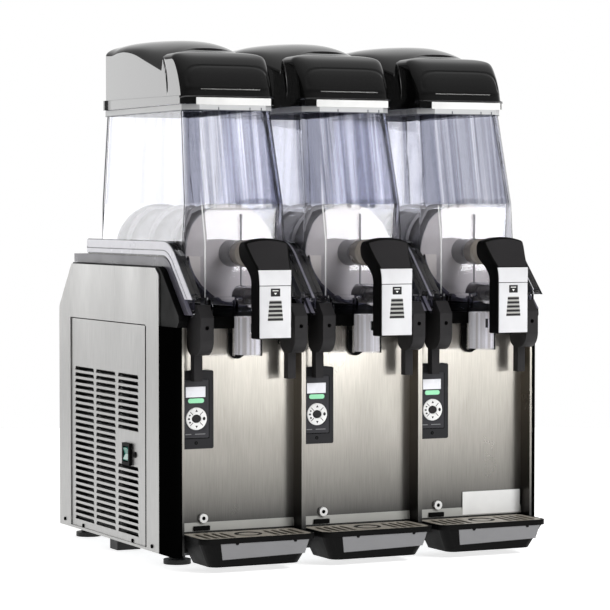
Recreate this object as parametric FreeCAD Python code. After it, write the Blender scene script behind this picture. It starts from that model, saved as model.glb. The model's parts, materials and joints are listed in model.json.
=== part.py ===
import FreeCAD, Part
import math
import os

# Counter-top slushie machine with three bowls side by side.
# Millimetres. X runs across the machine, Y from the taps (-) to the back (+), Z up.
# The origin lies on the counter, under the middle of the machine.

V = FreeCAD.Vector

# --- driving dimensions -------------------------------------------------------------------
BAY_NAMES = ("1", "2", "3")
BAY_PITCH = 200.0
BAY_CENTRES = (-BAY_PITCH, 0.0, BAY_PITCH)

BODY_HALF_WIDTH = 310.0
BODY_BACK_Y = 301.0
FRONT_Y = -190.0
PANEL_Y = -162.0
TAP_FRONT_Y = -301.0
SKIN_FRONT_Y = -124.0
BODY_BOTTOM_Z = 20.0
JOINT_Z = 363.0
SHEET = 2.0

DECK_Z = 452.0
DECK_BACK_Y = 262.0
SLOPE_SUM = DECK_Z + 124.0
SHOULDER_RADIUS = 30.0
BAY_HALF = 98.0
DECK_POCKET_HALF = 92.5

SEAT_TOP = 14.0
GASKET_TOP = 16.0
FLANGE_TOP = 38.0
TOE_Z = 405.0
TOE_Y = -218.0

DRUM_Z = 472.0
DRUM_RADIUS = 67.0
DRUM_FRONT_Y = -130.0
DRUM_BACK_Y = 145.0
TROUGH_RADIUS = 76.0
TROUGH_WALL = 3.5
SHAFT_RADIUS = 8.0

BOWL_WALL = 4.0
BOWL_FRONT_Y = -180.0
BOWL_BACK_Y = 182.0
BOWL_FLOOR_Z = 385.0
BOWL_BREAK_Z = 546.0
BOWL_TOP_Z = 700.0

SPOUT_Y = -204.0
SPOUT_RADIUS = 22.5
SPOUT_BOTTOM_Z = 320.0
BARREL_Z = 408.0
BARREL_RADIUS = 16.5
BARREL_BORE = 13.6
TAP_PIN_Y = -262.0
TAP_PIN_Z = 362.0
TAP_PIN_RADIUS = 3.0

LATCH_X = 76.6
LATCH_PIN_Y = -202.0
LATCH_PIN_Z = 386.0
LATCH_PIN_RADIUS = 3.0
RUNNING_GAP = 0.1

TRAY_TOP_Z = 54.0
TRAY_BOTTOM_Z = 10.0
TRAY_FRONT_Y = -248.0
TRAY_BACK_Y = -164.0

AXES = {"x": V(1, 0, 0), "y": V(0, 1, 0), "z": V(0, 0, 1)}


# --- shapes used by every sub-part ----------------------------------------------------------
def box(x0, x1, y0, y1, z0, z1):
    """Box between two corners."""
    return Part.makeBox(x1 - x0, y1 - y0, z1 - z0, V(x0, y0, z0))


def rod(axis, start, radius, length):
    """Cylinder that starts at a point and runs along one axis."""
    return Part.makeCylinder(radius, length, V(*start), AXES[axis])


def rounded_wire(corners, radii):
    """Closed wire through the corners, each one rounded to its own radius."""
    turns = []
    count = len(corners)
    for i, corner in enumerate(corners):
        if radii[i] == 0:
            turns.append((corner, None, corner))
            continue
        back = (corners[i - 1] - corner).normalize()
        ahead = (corners[(i + 1) % count] - corner).normalize()
        half = back.getAngle(ahead) / 2
        inward = (back + ahead).normalize()
        centre = corner + inward * (radii[i] / math.sin(half))
        reach = radii[i] / math.tan(half)
        turns.append((corner + back * reach, centre - inward * radii[i], corner + ahead * reach))
    edges = []
    for i, (start, middle, end) in enumerate(turns):
        if middle is not None:
            edges.append(Part.Arc(start, middle, end).toShape())
        following = turns[(i + 1) % count][0]
        if (following - end).Length > 1e-6:
            edges.append(Part.makeLine(end, following))
    return Part.Wire(edges)


def prism(axis, outline, low, high):
    """Extrude a rounded outline along one axis.

    outline holds (a, b, radius), where a and b are the two other coordinates in X, Y, Z order.
    """
    places = {"x": lambda a, b: V(low, a, b), "y": lambda a, b: V(a, low, b), "z": lambda a, b: V(a, b, low)}
    corners = [places[axis](a, b) for a, b, _ in outline]
    wire = rounded_wire(corners, [radius for _, _, radius in outline])
    return Part.Face(wire).extrude(AXES[axis] * (high - low))


def fuse(pieces):
    """Join a list of solids into one."""
    whole = pieces[0]
    for piece in pieces[1:]:
        whole = whole.fuse(piece)
    return whole.removeSplitter()


def mirrored(shape):
    """The same shape on the other side of the middle plane."""
    return shape.mirror(V(0, 0, 0), V(1, 0, 0))


def shifted(shape, x):
    """A copy of a shape moved across the machine."""
    copy = shape.copy()
    copy.translate(V(x, 0, 0))
    return copy


def save(name, shape):
    """Write one node."""
    shape.exportStep("parts/" + name + ".step")


def save_group(name, shapes):
    """Write one node that holds several separate solids."""
    save(name, Part.makeCompound(shapes))


def save_in_bays(name, shape):
    """Write the same sub-part once for each bay, as a node of its own."""
    for bay, x in zip(BAY_NAMES, BAY_CENTRES):
        save(name + "_" + bay, shifted(shape, x))


# --- the sloped line that deck, seats, gaskets and bowl flanges all follow ----------------------
def deck_line(offset, back_y, end_z):
    """Corner points from the back, over the shoulder and down the 45 degree slope."""
    z = DECK_Z + offset
    slope = SLOPE_SUM + offset * math.sqrt(2)
    return [(back_y, z, 0), (z - slope, z, SHOULDER_RADIUS + offset), (end_z - slope, end_z, 0)]


def deck_band(low, high, back_y, end_z, x0, x1):
    """Layer of even thickness lying along the deck line."""
    outline = deck_line(high, back_y, end_z) + deck_line(low, back_y, end_z)[::-1]
    return prism("x", outline, x0, x1)


def both_sides(shape):
    """A shape and its mirror image."""
    return [shape, mirrored(shape)]


# --- body -------------------------------------------------------------------------------------
def base_pan():
    """Floor plate of the body with a short folded edge at the back."""
    edge = BODY_HALF_WIDTH - 3 * SHEET
    plate = box(-edge, edge, PANEL_Y + 4, BODY_BACK_Y - 4, BODY_BOTTOM_Z, BODY_BOTTOM_Z + 4)
    lip = box(-edge, edge, BODY_BACK_Y - 6, BODY_BACK_Y - 4, BODY_BOTTOM_Z, BODY_BOTTOM_Z + 22)
    return fuse([plate, lip])


def rubber_feet():
    """Four feet, each a post on a wider pad, and a plain block half way along each side."""
    feet = []
    for x in (-269.0, 269.0):
        for y in (-97.0, 275.0):
            post = rod("z", (x, y, 4), 12.5, BODY_BOTTOM_Z - 4)
            pad = rod("z", (x, y, 0), 21.0, 7)
            feet.append(fuse([post, pad]))
    feet += both_sides(box(257, 296, 80, 112, 0, BODY_BOTTOM_Z))
    return feet


def skin_outline():
    """Side view of the body shell."""
    return [
        (SKIN_FRONT_Y, BODY_BOTTOM_Z, 0),
        (SKIN_FRONT_Y, DECK_Z - 12, 6),
        (SKIN_FRONT_Y + 14, DECK_Z - 2, 6),
        (244, DECK_Z - 2, 6),
        (BODY_BACK_Y, 379, 10),
        (BODY_BACK_Y, BODY_BOTTOM_Z, 0),
    ]


LOUVRE_Y0 = -71.0
LOUVRE_Y1 = 250.0
LOUVRE_Z0 = 24.0
SLOT_COUNT = 25
SLOT_PITCH = 9.7
SLOT_HEIGHT = 4.8
SLOT_HALF = 40.5
SLOT_FIRST_Z = 44.0
SLOT_COLUMNS = (-2.0, 91.0, 184.0)
RESET_Y = -25.4
RESET_Z = 160.8
SWITCH_Y = 3.0
SWITCH_Z = 160.0
SWITCH_HALF_Y = 15.0
SWITCH_HALF_Z = 17.0


def side_skin():
    """Right side sheet with the opening that the louvred panel fills."""
    sheet = prism("x", skin_outline(), BODY_HALF_WIDTH - SHEET, BODY_HALF_WIDTH)
    opening = box(300, 320, LOUVRE_Y0, LOUVRE_Y1, LOUVRE_Z0, JOINT_Z)
    return sheet.cut(opening)


def louvre_panel(with_switch):
    """Inset panel behind the right skin with three columns of slots."""
    outer = BODY_HALF_WIDTH - SHEET
    panel = box(outer - SHEET, outer, LOUVRE_Y0 - 8, LOUVRE_Y1 + 8, BODY_BOTTOM_Z + 4, JOINT_Z + 8)
    slots = []
    for column in SLOT_COLUMNS:
        for row in range(SLOT_COUNT):
            z = SLOT_FIRST_Z + row * SLOT_PITCH
            slot = box(outer - 10, outer + 10, column - SLOT_HALF, column + SLOT_HALF, z, z + SLOT_HEIGHT)
            blocked = (
                with_switch
                and column == SLOT_COLUMNS[0]
                and abs(z + SLOT_HEIGHT / 2 - SWITCH_Z) < SWITCH_HALF_Z + 6
            )
            if not blocked:
                slots.append(slot)
    panel = panel.cut(Part.makeCompound(slots))
    if with_switch:
        hole = box(
            outer - 10,
            outer + 10,
            SWITCH_Y - SWITCH_HALF_Y + 3,
            SWITCH_Y + SWITCH_HALF_Y - 3,
            SWITCH_Z - SWITCH_HALF_Z + 3,
            SWITCH_Z + SWITCH_HALF_Z - 3,
        )
        panel = panel.cut(hole)
    return panel


def switch_housing():
    """Frame of the power switch, clipped into the left louvred panel."""
    face = -(BODY_HALF_WIDTH - SHEET)
    bezel = box(
        face - 5,
        face,
        SWITCH_Y - SWITCH_HALF_Y,
        SWITCH_Y + SWITCH_HALF_Y,
        SWITCH_Z - SWITCH_HALF_Z,
        SWITCH_Z + SWITCH_HALF_Z,
    )
    sleeve = box(
        face,
        face + 18,
        SWITCH_Y - SWITCH_HALF_Y + 3,
        SWITCH_Y + SWITCH_HALF_Y - 3,
        SWITCH_Z - SWITCH_HALF_Z + 3,
        SWITCH_Z + SWITCH_HALF_Z - 3,
    )
    well = box(
        face - 6,
        face + 14,
        SWITCH_Y - SWITCH_HALF_Y + 5,
        SWITCH_Y + SWITCH_HALF_Y - 5,
        SWITCH_Z - SWITCH_HALF_Z + 5,
        SWITCH_Z + SWITCH_HALF_Z - 5,
    )
    return fuse([bezel, sleeve]).cut(well)


def reset_button():
    """Small round button with a dished face, in front of the power switch."""
    face = -(BODY_HALF_WIDTH - SHEET)
    button = rod("x", (face - 2, RESET_Y, RESET_Z), 4.6, 2)
    return button.cut(rod("x", (face - 3, RESET_Y, RESET_Z), 3.0, 1.8))


def power_rocker():
    """Rocker that tilts in the switch housing about an axis along Y."""
    face = -(BODY_HALF_WIDTH - SHEET)
    half_z = SWITCH_HALF_Z - 6.5
    outline = [
        (face + 4, SWITCH_Z - half_z, 2),
        (face - 5.5, SWITCH_Z - half_z, 2),
        (face - 3, SWITCH_Z, 0),
        (face - 5.5, SWITCH_Z + half_z, 2),
        (face + 4, SWITCH_Z + half_z, 2),
    ]
    half_y = SWITCH_HALF_Y - 5.5
    return prism("y", outline, SWITCH_Y - half_y, SWITCH_Y + half_y)


def rear_panel():
    """Back sheet, upright and then slanted forward, with cooling slots."""
    outline = [
        (BODY_BACK_Y - SHEET - 1, BODY_BOTTOM_Z, 0),
        (BODY_BACK_Y - 1, BODY_BOTTOM_Z, 0),
        (BODY_BACK_Y - 1, 378, 8),
        (243, DECK_Z - 2, 0),
        (240.5, DECK_Z - 3.5, 0),
        (BODY_BACK_Y - SHEET - 1, 377, 8),
    ]
    half = BODY_HALF_WIDTH - SHEET
    sheet = prism("x", outline, -half, half)
    slots = []
    for column in (-180.0, -60.0, 60.0, 180.0):
        for row in range(18):
            z = 90 + row * 12
            slots.append(box(column - 45, column + 45, 280, 320, z, z + 5))
    return sheet.cut(Part.makeCompound(slots))


def cable_gland():
    """Strain-relief gland of the supply lead, low on the back."""
    flange = rod("y", (-240, BODY_BACK_Y - 1, 60), 14, 1)
    tail = rod("y", (-240, BODY_BACK_Y - 19, 60), 9, 18)
    bore = rod("y", (-240, BODY_BACK_Y - 30, 60), 4, 40)
    return fuse([flange, tail]).cut(bore)


def gland_hole():
    """Hole of the gland in the rear panel."""
    return rod("y", (-240, BODY_BACK_Y - 30, 60), 9, 40)


def top_deck():
    """Black deck: sloped end caps, ribs between the bays and a web under each bowl's front."""
    edge = BODY_HALF_WIDTH - SHEET
    low = JOINT_Z
    line = deck_line(0, 242, 380)
    front = line[-1][0]
    outline = line + [(front - 1, 372, 4), (front + 6, low, 0), (242, low, 0)]
    deck = prism("x", outline, -edge, edge)
    pockets = []
    for x in BAY_CENTRES:
        pocket = box(x - DECK_POCKET_HALF, x + DECK_POCKET_HALF, -230, 230, low - 1, 480)
        web = box(x - 100, x + 100, PANEL_Y - 8, PANEL_Y - 2, low - 2, 391)
        pockets.append(pocket.cut(web))
    rebate = box(edge - SHEET, edge + SHEET, SKIN_FRONT_Y + 8, 260, low - 1, low + 10)
    return deck.cut(Part.makeCompound(pockets + both_sides(rebate)))


def corner_trim():
    """Right front corner post, rounded on its outer front edge."""
    inner = 3 * BAY_HALF + 4
    outline = [
        (inner + 0.2, SKIN_FRONT_Y, 0),
        (inner + 0.2, FRONT_Y, 1.5),
        (BODY_HALF_WIDTH, FRONT_Y, 10),
        (BODY_HALF_WIDTH, SKIN_FRONT_Y, 0),
    ]
    return prism("z", outline, BODY_BOTTOM_Z, JOINT_Z)


def front_panel():
    """Recessed bay panel: sheet with side flanges and a narrow folded hem on each."""
    sheet = 1.5
    back = box(-BAY_HALF, BAY_HALF, PANEL_Y, PANEL_Y + sheet, BODY_BOTTOM_Z + 4, JOINT_Z)
    edge = BAY_HALF + 1.9
    flange = box(BAY_HALF - sheet, BAY_HALF, FRONT_Y + 1, PANEL_Y + sheet, BODY_BOTTOM_Z + 4, JOINT_Z)
    hem = box(BAY_HALF - sheet, edge, FRONT_Y, FRONT_Y + sheet, BODY_BOTTOM_Z + 4, JOINT_Z)
    return fuse([back] + both_sides(flange) + both_sides(hem))


# --- what sits on the front panels ----------------------------------------------------------------
CONTROL_X = -68.5
CONTROL_HALF = 25.5
KEY_X = CONTROL_X - 2.8
CONTROL_Z0 = 181.0
CONTROL_Z1 = 298.0
CONTROL_DEPTH = 14.0
KEY_RING_Z = 226.2
KEY_RING_RADIUS = 16.8
MENU_HALF_X = 7.0
MENU_HALF_Z = 5.8
MENU_GAP = 0.4
DISPLAY_Z = 266.0
DISPLAY_HALF_X = 16.0
DISPLAY_HALF_Z = 8.0
KEY_FRONT = PANEL_Y - CONTROL_DEPTH - 1.2


def display_block(front, depth):
    """Block the size of the display, from one depth backwards."""
    low_x = KEY_X - DISPLAY_HALF_X
    low_z = DISPLAY_Z - DISPLAY_HALF_Z
    return box(low_x, low_x + 2 * DISPLAY_HALF_X, front, front + depth, low_z, low_z + 2 * DISPLAY_HALF_Z)


def menu_oval(front, depth, gap):
    """Oval rod the size of the centre key, grown by a gap."""
    turn = FreeCAD.Placement(V(0, 0, 0), FreeCAD.Rotation(V(1, 0, 0), 90))
    oval = Part.Ellipse(V(0, 0, 0), MENU_HALF_X + gap, MENU_HALF_Z + gap).toShape()
    face = Part.Face(Part.Wire(oval))
    face.Placement = turn
    return face.extrude(V(0, depth, 0)).translated(V(KEY_X, front, KEY_RING_Z))


def control_box():
    """Control box: raised housing with wells for the display and the keys."""
    outline = [
        (CONTROL_X - CONTROL_HALF, CONTROL_Z0, 3),
        (CONTROL_X + CONTROL_HALF, CONTROL_Z0, 3),
        (CONTROL_X + CONTROL_HALF, CONTROL_Z1, 3),
        (CONTROL_X - CONTROL_HALF, CONTROL_Z1, 3),
    ]
    face = PANEL_Y - CONTROL_DEPTH
    housing = prism("y", outline, face, PANEL_Y)
    well = rod("y", (KEY_X, face - 1, KEY_RING_Z), KEY_RING_RADIUS + 0.4, 6)
    return housing.cut(fuse([well, display_block(face - 1, 2)]))


def display_window():
    """Clear window that fills the display well."""
    return display_block(PANEL_Y - CONTROL_DEPTH, 1)


def key_ring():
    """Ring of four direction keys around the centre key."""
    depth = PANEL_Y - CONTROL_DEPTH + 3.5 - KEY_FRONT
    disc = rod("y", (KEY_X, KEY_FRONT, KEY_RING_Z), KEY_RING_RADIUS, depth)
    return disc.cut(menu_oval(KEY_FRONT - 1, depth + 2, MENU_GAP))


def menu_button():
    """Oval centre key."""
    depth = PANEL_Y - CONTROL_DEPTH + 3.5 - KEY_FRONT
    return menu_oval(KEY_FRONT - 0.6, depth + 0.6, 0)


def panel_bush():
    """Light ring with a dark hole low on the front panel."""
    ring = rod("y", (-55.0, PANEL_Y - 5, 75.2), 6.8, 5)
    bore = rod("y", (-55.0, PANEL_Y - 6, 75.2), 2.9, 4)
    return ring.cut(bore)


def tray_hook():
    """Hook above the tray's rear edge, low on the left of the front panel."""
    return box(-70.6, -44.6, PANEL_Y - 5, PANEL_Y, 57, 64)


def crossbar():
    """Bar behind the spout, with a round-ended tongue that keeps drips off the panel."""
    tongue_half = 13.0
    tip_z = 326.5
    front = PANEL_Y - 18
    back = PANEL_Y - 1
    bar = box(-61, 61, front, front + 10, JOINT_Z - 3, 378)
    shelf = box(-tongue_half, tongue_half, front, back, JOINT_Z - 10, JOINT_Z - 0.5)
    tongue = box(-tongue_half, tongue_half, back - 5, back, tip_z, JOINT_Z - 0.5)
    tip = rod("y", (0, back - 5, tip_z), tongue_half, 5)
    return fuse([bar, shelf, tongue, tip])


# --- cold deck ---------------------------------------------------------------------------------
def bowl_section(z, half, face_half, front_y, corner_y, back_y, inset):
    """Plan outline of the bowl at one height, drawn in by inset."""
    half = half - inset
    face_half = face_half - inset * 0.6
    outline = [
        V(-half, back_y - inset, z),
        V(half, back_y - inset, z),
        V(half, corner_y, z),
        V(face_half, front_y + inset, z),
        V(-face_half, front_y + inset, z),
        V(-half, corner_y, z),
    ]
    return rounded_wire(outline, [14 - inset, 14 - inset, 16, 10, 10, 16])


def bowl_form(inset, low_z, high_z):
    """Solid form of the bowl: upright below the break and tapered above it."""
    lower = (84.0, 59.0, BOWL_FRONT_Y, -160.0, BOWL_BACK_Y + 2)
    waist = (81.0, 64.0, BOWL_FRONT_Y + 1, -158.0, BOWL_BACK_Y)
    rim = (72.5, 53.0, -148.0, -126.0, BOWL_BACK_Y - 2)
    base = Part.makeLoft([bowl_section(z, *lower, inset) for z in (low_z, 490.0)], True, True)
    middle = Part.makeLoft(
        [bowl_section(490.0, *lower, inset), bowl_section(BOWL_BREAK_Z, *waist, inset)], True, True
    )
    taper = Part.makeLoft(
        [bowl_section(BOWL_BREAK_Z, *waist, inset), bowl_section(high_z, *rim, inset)], True, True
    )
    return base.fuse(middle).fuse(taper)


def trough_ring(radius, wall):
    """Tube round the drum axis, as long as the cold trough."""
    length = BOWL_BACK_Y - BOWL_FRONT_Y - 2 * BOWL_WALL - 5
    start = (0, BOWL_FRONT_Y + BOWL_WALL + 1, DRUM_Z)
    return rod("y", start, radius + wall, length).cut(rod("y", start, radius, length))


def bowl_seat():
    """Grey seat of one bowl: the trough under the drum and the rails that the bowl stands on."""
    trough = trough_ring(TROUGH_RADIUS, TROUGH_WALL)
    keep = bowl_form(BOWL_WALL + 0.6, BOWL_FLOOR_Z - 10, BOWL_TOP_Z)
    trough = trough.common(keep).common(box(-90, 90, -200, 200, 380, DECK_Z + SEAT_TOP))
    rail = deck_band(0, SEAT_TOP, DECK_BACK_Y, 382, 78.4, BAY_HALF)
    latch_room = box(60, DECK_POCKET_HALF, -260, -170, 370, TOE_Z + 1)
    shelf = box(74, 92, -110, 175, DECK_Z - 12, DECK_Z)
    core = rod("y", (0, -200, DRUM_Z), TROUGH_RADIUS + 1, 400)
    side = fuse([rail.cut(latch_room), shelf.cut(core)])
    back = box(-BAY_HALF, BAY_HALF, BOWL_BACK_Y - 5, DECK_BACK_Y, DECK_Z, DECK_Z + SEAT_TOP)
    drive_hole = box(-24, 24, DRUM_BACK_Y, DRUM_BACK_Y + 26, 380, 430)
    return fuse([trough, back] + both_sides(side)).cut(drive_hole)


def bowl_gasket():
    """Flat gasket between a seat and its bowl."""
    strip = deck_band(SEAT_TOP, GASKET_TOP, BOWL_BACK_Y + 20, TOE_Z + 2, -96.5, 96.5)
    opening = box(-80.5, 80.5, -260, BOWL_BACK_Y - 2, 380, 500)
    return strip.cut(opening)


def evaporator():
    """Cold drum: a shell with a front wall and a tube for the auger's shaft."""
    length = DRUM_BACK_Y - DRUM_FRONT_Y
    drum = rod("y", (0, DRUM_FRONT_Y, DRUM_Z), DRUM_RADIUS, length)
    hollow = rod("y", (0, DRUM_FRONT_Y + 4, DRUM_Z), DRUM_RADIUS - 3, length)
    tube = rod("y", (0, DRUM_FRONT_Y, DRUM_Z), SHAFT_RADIUS + 3, length)
    bore = rod("y", (0, DRUM_FRONT_Y - 1, DRUM_Z), SHAFT_RADIUS + RUNNING_GAP, length + 2)
    return drum.cut(hollow).fuse(tube).cut(bore)


def gearmotor():
    """Motor and gearbox under the deck, with the upright drive case behind the drum."""
    plate = rod("y", (0, DRUM_BACK_Y, DRUM_Z), DRUM_RADIUS, 4)
    case = box(-22, 22, DRUM_BACK_Y, DRUM_BACK_Y + 24, 330, DRUM_Z)
    crown = rod("y", (0, DRUM_BACK_Y, DRUM_Z), 22, 24)
    gearbox = box(-40, 40, DRUM_BACK_Y - 20, DRUM_BACK_Y + 40, 290, 350)
    motor = rod("y", (0, DRUM_BACK_Y - 110, 318), 34, 92)
    bore = rod("y", (0, DRUM_BACK_Y - 1, DRUM_Z), SHAFT_RADIUS + RUNNING_GAP, 22)
    return fuse([plate, case, crown, gearbox, motor]).cut(bore)


def spiral(radius_in, radius_out, width, start_y, pitch, turns):
    """Flat ribbon wound round the drum axis."""
    height = pitch * turns
    middle = (radius_in + radius_out) / 2
    path = Part.makeHelix(pitch, height, middle)
    corners = [
        V(radius_in, 0, -width / 2),
        V(radius_out, 0, -width / 2),
        V(radius_out, 0, width / 2),
        V(radius_in, 0, width / 2),
    ]
    section = Part.makePolygon(corners + corners[:1])
    ribbon = Part.Wire(path.Edges).makePipeShell([section], True, True)
    ribbon.rotate(V(0, 0, 0), V(1, 0, 0), -90)
    ribbon.translate(V(0, start_y, DRUM_Z))
    return ribbon


def auger():
    """Scraper spiral with end rings, front arms, shaft and nose cap."""
    inner = DRUM_RADIUS + 1.2
    outer = TROUGH_RADIUS - 1.6
    ring_depth = 8.0
    first = DRUM_FRONT_Y - 1.5 - ring_depth
    last = DRUM_BACK_Y - 18
    front_ring = rod("y", (0, first, DRUM_Z), outer, ring_depth)
    front_ring = front_ring.cut(rod("y", (0, first - 1, DRUM_Z), inner - 5, ring_depth + 2))
    rear_ring = rod("y", (0, last, DRUM_Z), outer, ring_depth)
    rear_ring = rear_ring.cut(rod("y", (0, last - 1, DRUM_Z), inner, ring_depth + 2))
    arm = box(-outer + 3, outer - 3, first, first + ring_depth, DRUM_Z - 7, DRUM_Z + 7)
    turns = 3
    start = first + ring_depth / 2
    pitch = (last + ring_depth / 2 - start) / turns
    ribbon = spiral(inner + 0.4, outer - 0.4, ring_depth, start, pitch, turns)
    ribbon = ribbon.cut(box(-99, 99, first - 20, first, DRUM_Z - 99, DRUM_Z + 99))
    shaft = rod("y", (0, first, DRUM_Z), SHAFT_RADIUS, DRUM_BACK_Y + 18 - first)
    nose = Part.makeCone(14, 22, 24, V(0, first - 24, DRUM_Z), AXES["y"])
    return fuse([front_ring, rear_ring, ribbon, arm, shaft, nose])


# --- bowls and what closes them --------------------------------------------------------------------
LATCH_HALF = 10.5
LUG_THICK = 4.0
LUG_OUTER_X = LATCH_X + LATCH_HALF + 0.5
LUG_INNER_X = LATCH_X - LATCH_HALF - 0.5 - LUG_THICK


def latch_lug(x0):
    """Lug under the bowl's front edge that carries one end of a locking lever's pin."""
    plate = box(x0, x0 + LUG_THICK, LATCH_PIN_Y - 7, LATCH_PIN_Y + 7, LATCH_PIN_Z, TOE_Z)
    return plate.fuse(rod("x", (x0, LATCH_PIN_Y, LATCH_PIN_Z), 7, LUG_THICK))


def bowl():
    """Clear bowl with its flange, front ledge, tap barrel, spout and lever lugs."""
    shell = bowl_form(0, BOWL_FLOOR_Z, BOWL_TOP_Z)
    below_rails = prism("x", deck_line(GASKET_TOP, 300, 380) + [(300, 380, 0)], 78, 120)
    rear_cut = box(-120, 120, 150, 300, 370, DECK_Z + GASKET_TOP)
    trough_cut = box(-78, 78, -176, 300, 370, DECK_Z + GASKET_TOP)
    shell = shell.cut(fuse([rear_cut, trough_cut] + both_sides(below_rails)))
    back_y = BOWL_BACK_Y + 22
    flange = deck_band(GASKET_TOP, FLANGE_TOP, back_y, TOE_Z, -BAY_HALF + 0.6, BAY_HALF - 0.6)
    flange = flange.cut(box(-99, 99, -260, TOE_Y, 380, 500))
    flange = flange.cut(box(-82, 82, -260, BOWL_BACK_Y, 380, 500))
    ledge = box(-82, 82, TOE_Y + 4, BOWL_FRONT_Y + 2, TOE_Z - 1, TOE_Z + 3)
    lip = box(-60, 60, TOE_Y + 4, TOE_Y + 8, BOWL_FLOOR_Z, TOE_Z)
    barrel = rod("y", (0, TAP_PIN_Y + 2, BARREL_Z), BARREL_RADIUS, BOWL_FRONT_Y - TAP_PIN_Y)
    spout = rod("z", (0, SPOUT_Y, SPOUT_BOTTOM_Z), SPOUT_RADIUS, BARREL_Z - SPOUT_BOTTOM_Z)
    tap_lug = box(-7, 7, TAP_PIN_Y, SPOUT_Y - 16, TAP_PIN_Z - 7, TAP_PIN_Z + 7)
    tap_lug = tap_lug.fuse(rod("x", (-7, TAP_PIN_Y, TAP_PIN_Z), 7, 14))
    lugs = [latch_lug(x) for side in (LUG_INNER_X, LUG_OUTER_X) for x in (side, -side - LUG_THICK)]
    body = fuse([shell, flange, ledge, lip, barrel, spout, tap_lug] + lugs)
    inside = bowl_form(BOWL_WALL, BOWL_FLOOR_Z - 5, BOWL_TOP_Z + 0.01)
    bore = rod("y", (0, TAP_PIN_Y - 5, BARREL_Z), BARREL_BORE, BOWL_FRONT_Y - TAP_PIN_Y + 15)
    channel = rod("z", (0, SPOUT_Y, SPOUT_BOTTOM_Z - 5), SPOUT_RADIUS - 2.5, BARREL_Z - SPOUT_BOTTOM_Z)
    tap_hole = rod("x", (-10, TAP_PIN_Y, TAP_PIN_Z), TAP_PIN_RADIUS + RUNNING_GAP, 20)
    lug_hole = rod("x", (50, LATCH_PIN_Y, LATCH_PIN_Z), LATCH_PIN_RADIUS + RUNNING_GAP, 50)
    return body.cut(inside).cut(fuse([bore, channel, tap_hole] + both_sides(lug_hole)))


LID_LOW_Z = 696.0
LID_HALF = 77.0
LID_FRONT_Y = -152.0
LID_CORNER_Y = -128.0
LID_BACK_Y = 184.0
LID_CROWN_Z = 803.0
LID_WALL = 3.0


def lid_form(inset):
    """Domed form of the lid: side view crossed with front view, both drawn in by inset."""
    top = LID_CROWN_Z - inset
    side = [
        (LID_BACK_Y - inset, LID_LOW_Z - 5, 0),
        (LID_BACK_Y - inset, top - 12, 22),
        (110, top, 200),
        (-86 + inset, top - 22, 14),
        (-130 + inset, 736, 30),
        (LID_FRONT_Y + inset, 706, 4),
        (LID_FRONT_Y + inset, LID_LOW_Z - 5, 0),
    ]
    half = LID_HALF - inset
    across = [
        (-half, LID_LOW_Z - 5, 0),
        (half, LID_LOW_Z - 5, 0),
        (half - 2, 772 - inset, 26),
        (0, top + 14, 90),
        (-half + 2, 772 - inset, 26),
    ]
    plan = [
        (-half, LID_BACK_Y - inset, 12),
        (half, LID_BACK_Y - inset, 12),
        (half, LID_CORNER_Y, 12),
        (66 - inset * 0.6, LID_FRONT_Y + inset, 8),
        (-66 + inset * 0.6, LID_FRONT_Y + inset, 8),
        (-half, LID_CORNER_Y, 12),
    ]
    form = prism("x", side, -100, 100).common(prism("y", across, -200, 250))
    return form.common(prism("z", plan, LID_LOW_Z, 850))


def lid():
    """Lid: domed shell that drops over the bowl's rim, with a raised band along its lower edge."""
    dome = lid_form(0).cut(lid_form(LID_WALL))
    band = prism(
        "z",
        [
            (-LID_HALF - 1.5, LID_BACK_Y + 4, 12),
            (LID_HALF + 1.5, LID_BACK_Y + 4, 12),
            (LID_HALF + 1.5, LID_CORNER_Y + 1, 12),
            (67, LID_FRONT_Y - 1, 8),
            (-67, LID_FRONT_Y - 1, 8),
            (-LID_HALF - 1.5, LID_CORNER_Y + 1, 12),
        ],
        LID_LOW_Z,
        LID_LOW_Z + 11,
    ).cut(lid_form(1))
    return fuse([dome, band])


# --- tap ---------------------------------------------------------------------------------------
TAP_BACK_Y = -274.0
TAP_HALF = 27.0
TAP_LOW_Z = 349.0
TAP_SHOULDER_Z = 449.0
TAP_TOP_Z = 490.0


def tap():
    """Tap lever: upright body with a flared handle on top and two ears round the hinge pin."""
    body = box(-TAP_HALF, TAP_HALF, TAP_FRONT_Y, TAP_BACK_Y, TAP_LOW_Z, TAP_SHOULDER_Z)
    lower = Part.makePolygon(
        [
            V(-TAP_HALF, TAP_FRONT_Y, TAP_SHOULDER_Z),
            V(TAP_HALF, TAP_FRONT_Y, TAP_SHOULDER_Z),
            V(TAP_HALF, TAP_BACK_Y, TAP_SHOULDER_Z),
            V(-TAP_HALF, TAP_BACK_Y, TAP_SHOULDER_Z),
            V(-TAP_HALF, TAP_FRONT_Y, TAP_SHOULDER_Z),
        ]
    )
    lean = 22.0
    wide = 35.0
    upper = Part.makePolygon(
        [
            V(-wide, TAP_FRONT_Y + lean, TAP_TOP_Z),
            V(wide, TAP_FRONT_Y + lean, TAP_TOP_Z),
            V(wide, TAP_BACK_Y + lean, TAP_TOP_Z),
            V(-wide, TAP_BACK_Y + lean, TAP_TOP_Z),
            V(-wide, TAP_FRONT_Y + lean, TAP_TOP_Z),
        ]
    )
    handle = Part.makeLoft([lower, upper], True, True)
    ear = box(8, 13, TAP_BACK_Y, TAP_PIN_Y, TAP_PIN_Z - 7, TAP_PIN_Z + 7)
    ear = ear.fuse(rod("x", (8, TAP_PIN_Y, TAP_PIN_Z), 7, 5))
    pin = rod("x", (-11, TAP_PIN_Y, TAP_PIN_Z), TAP_PIN_RADIUS, 22)
    return fuse([body, handle, pin] + both_sides(ear))


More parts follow.
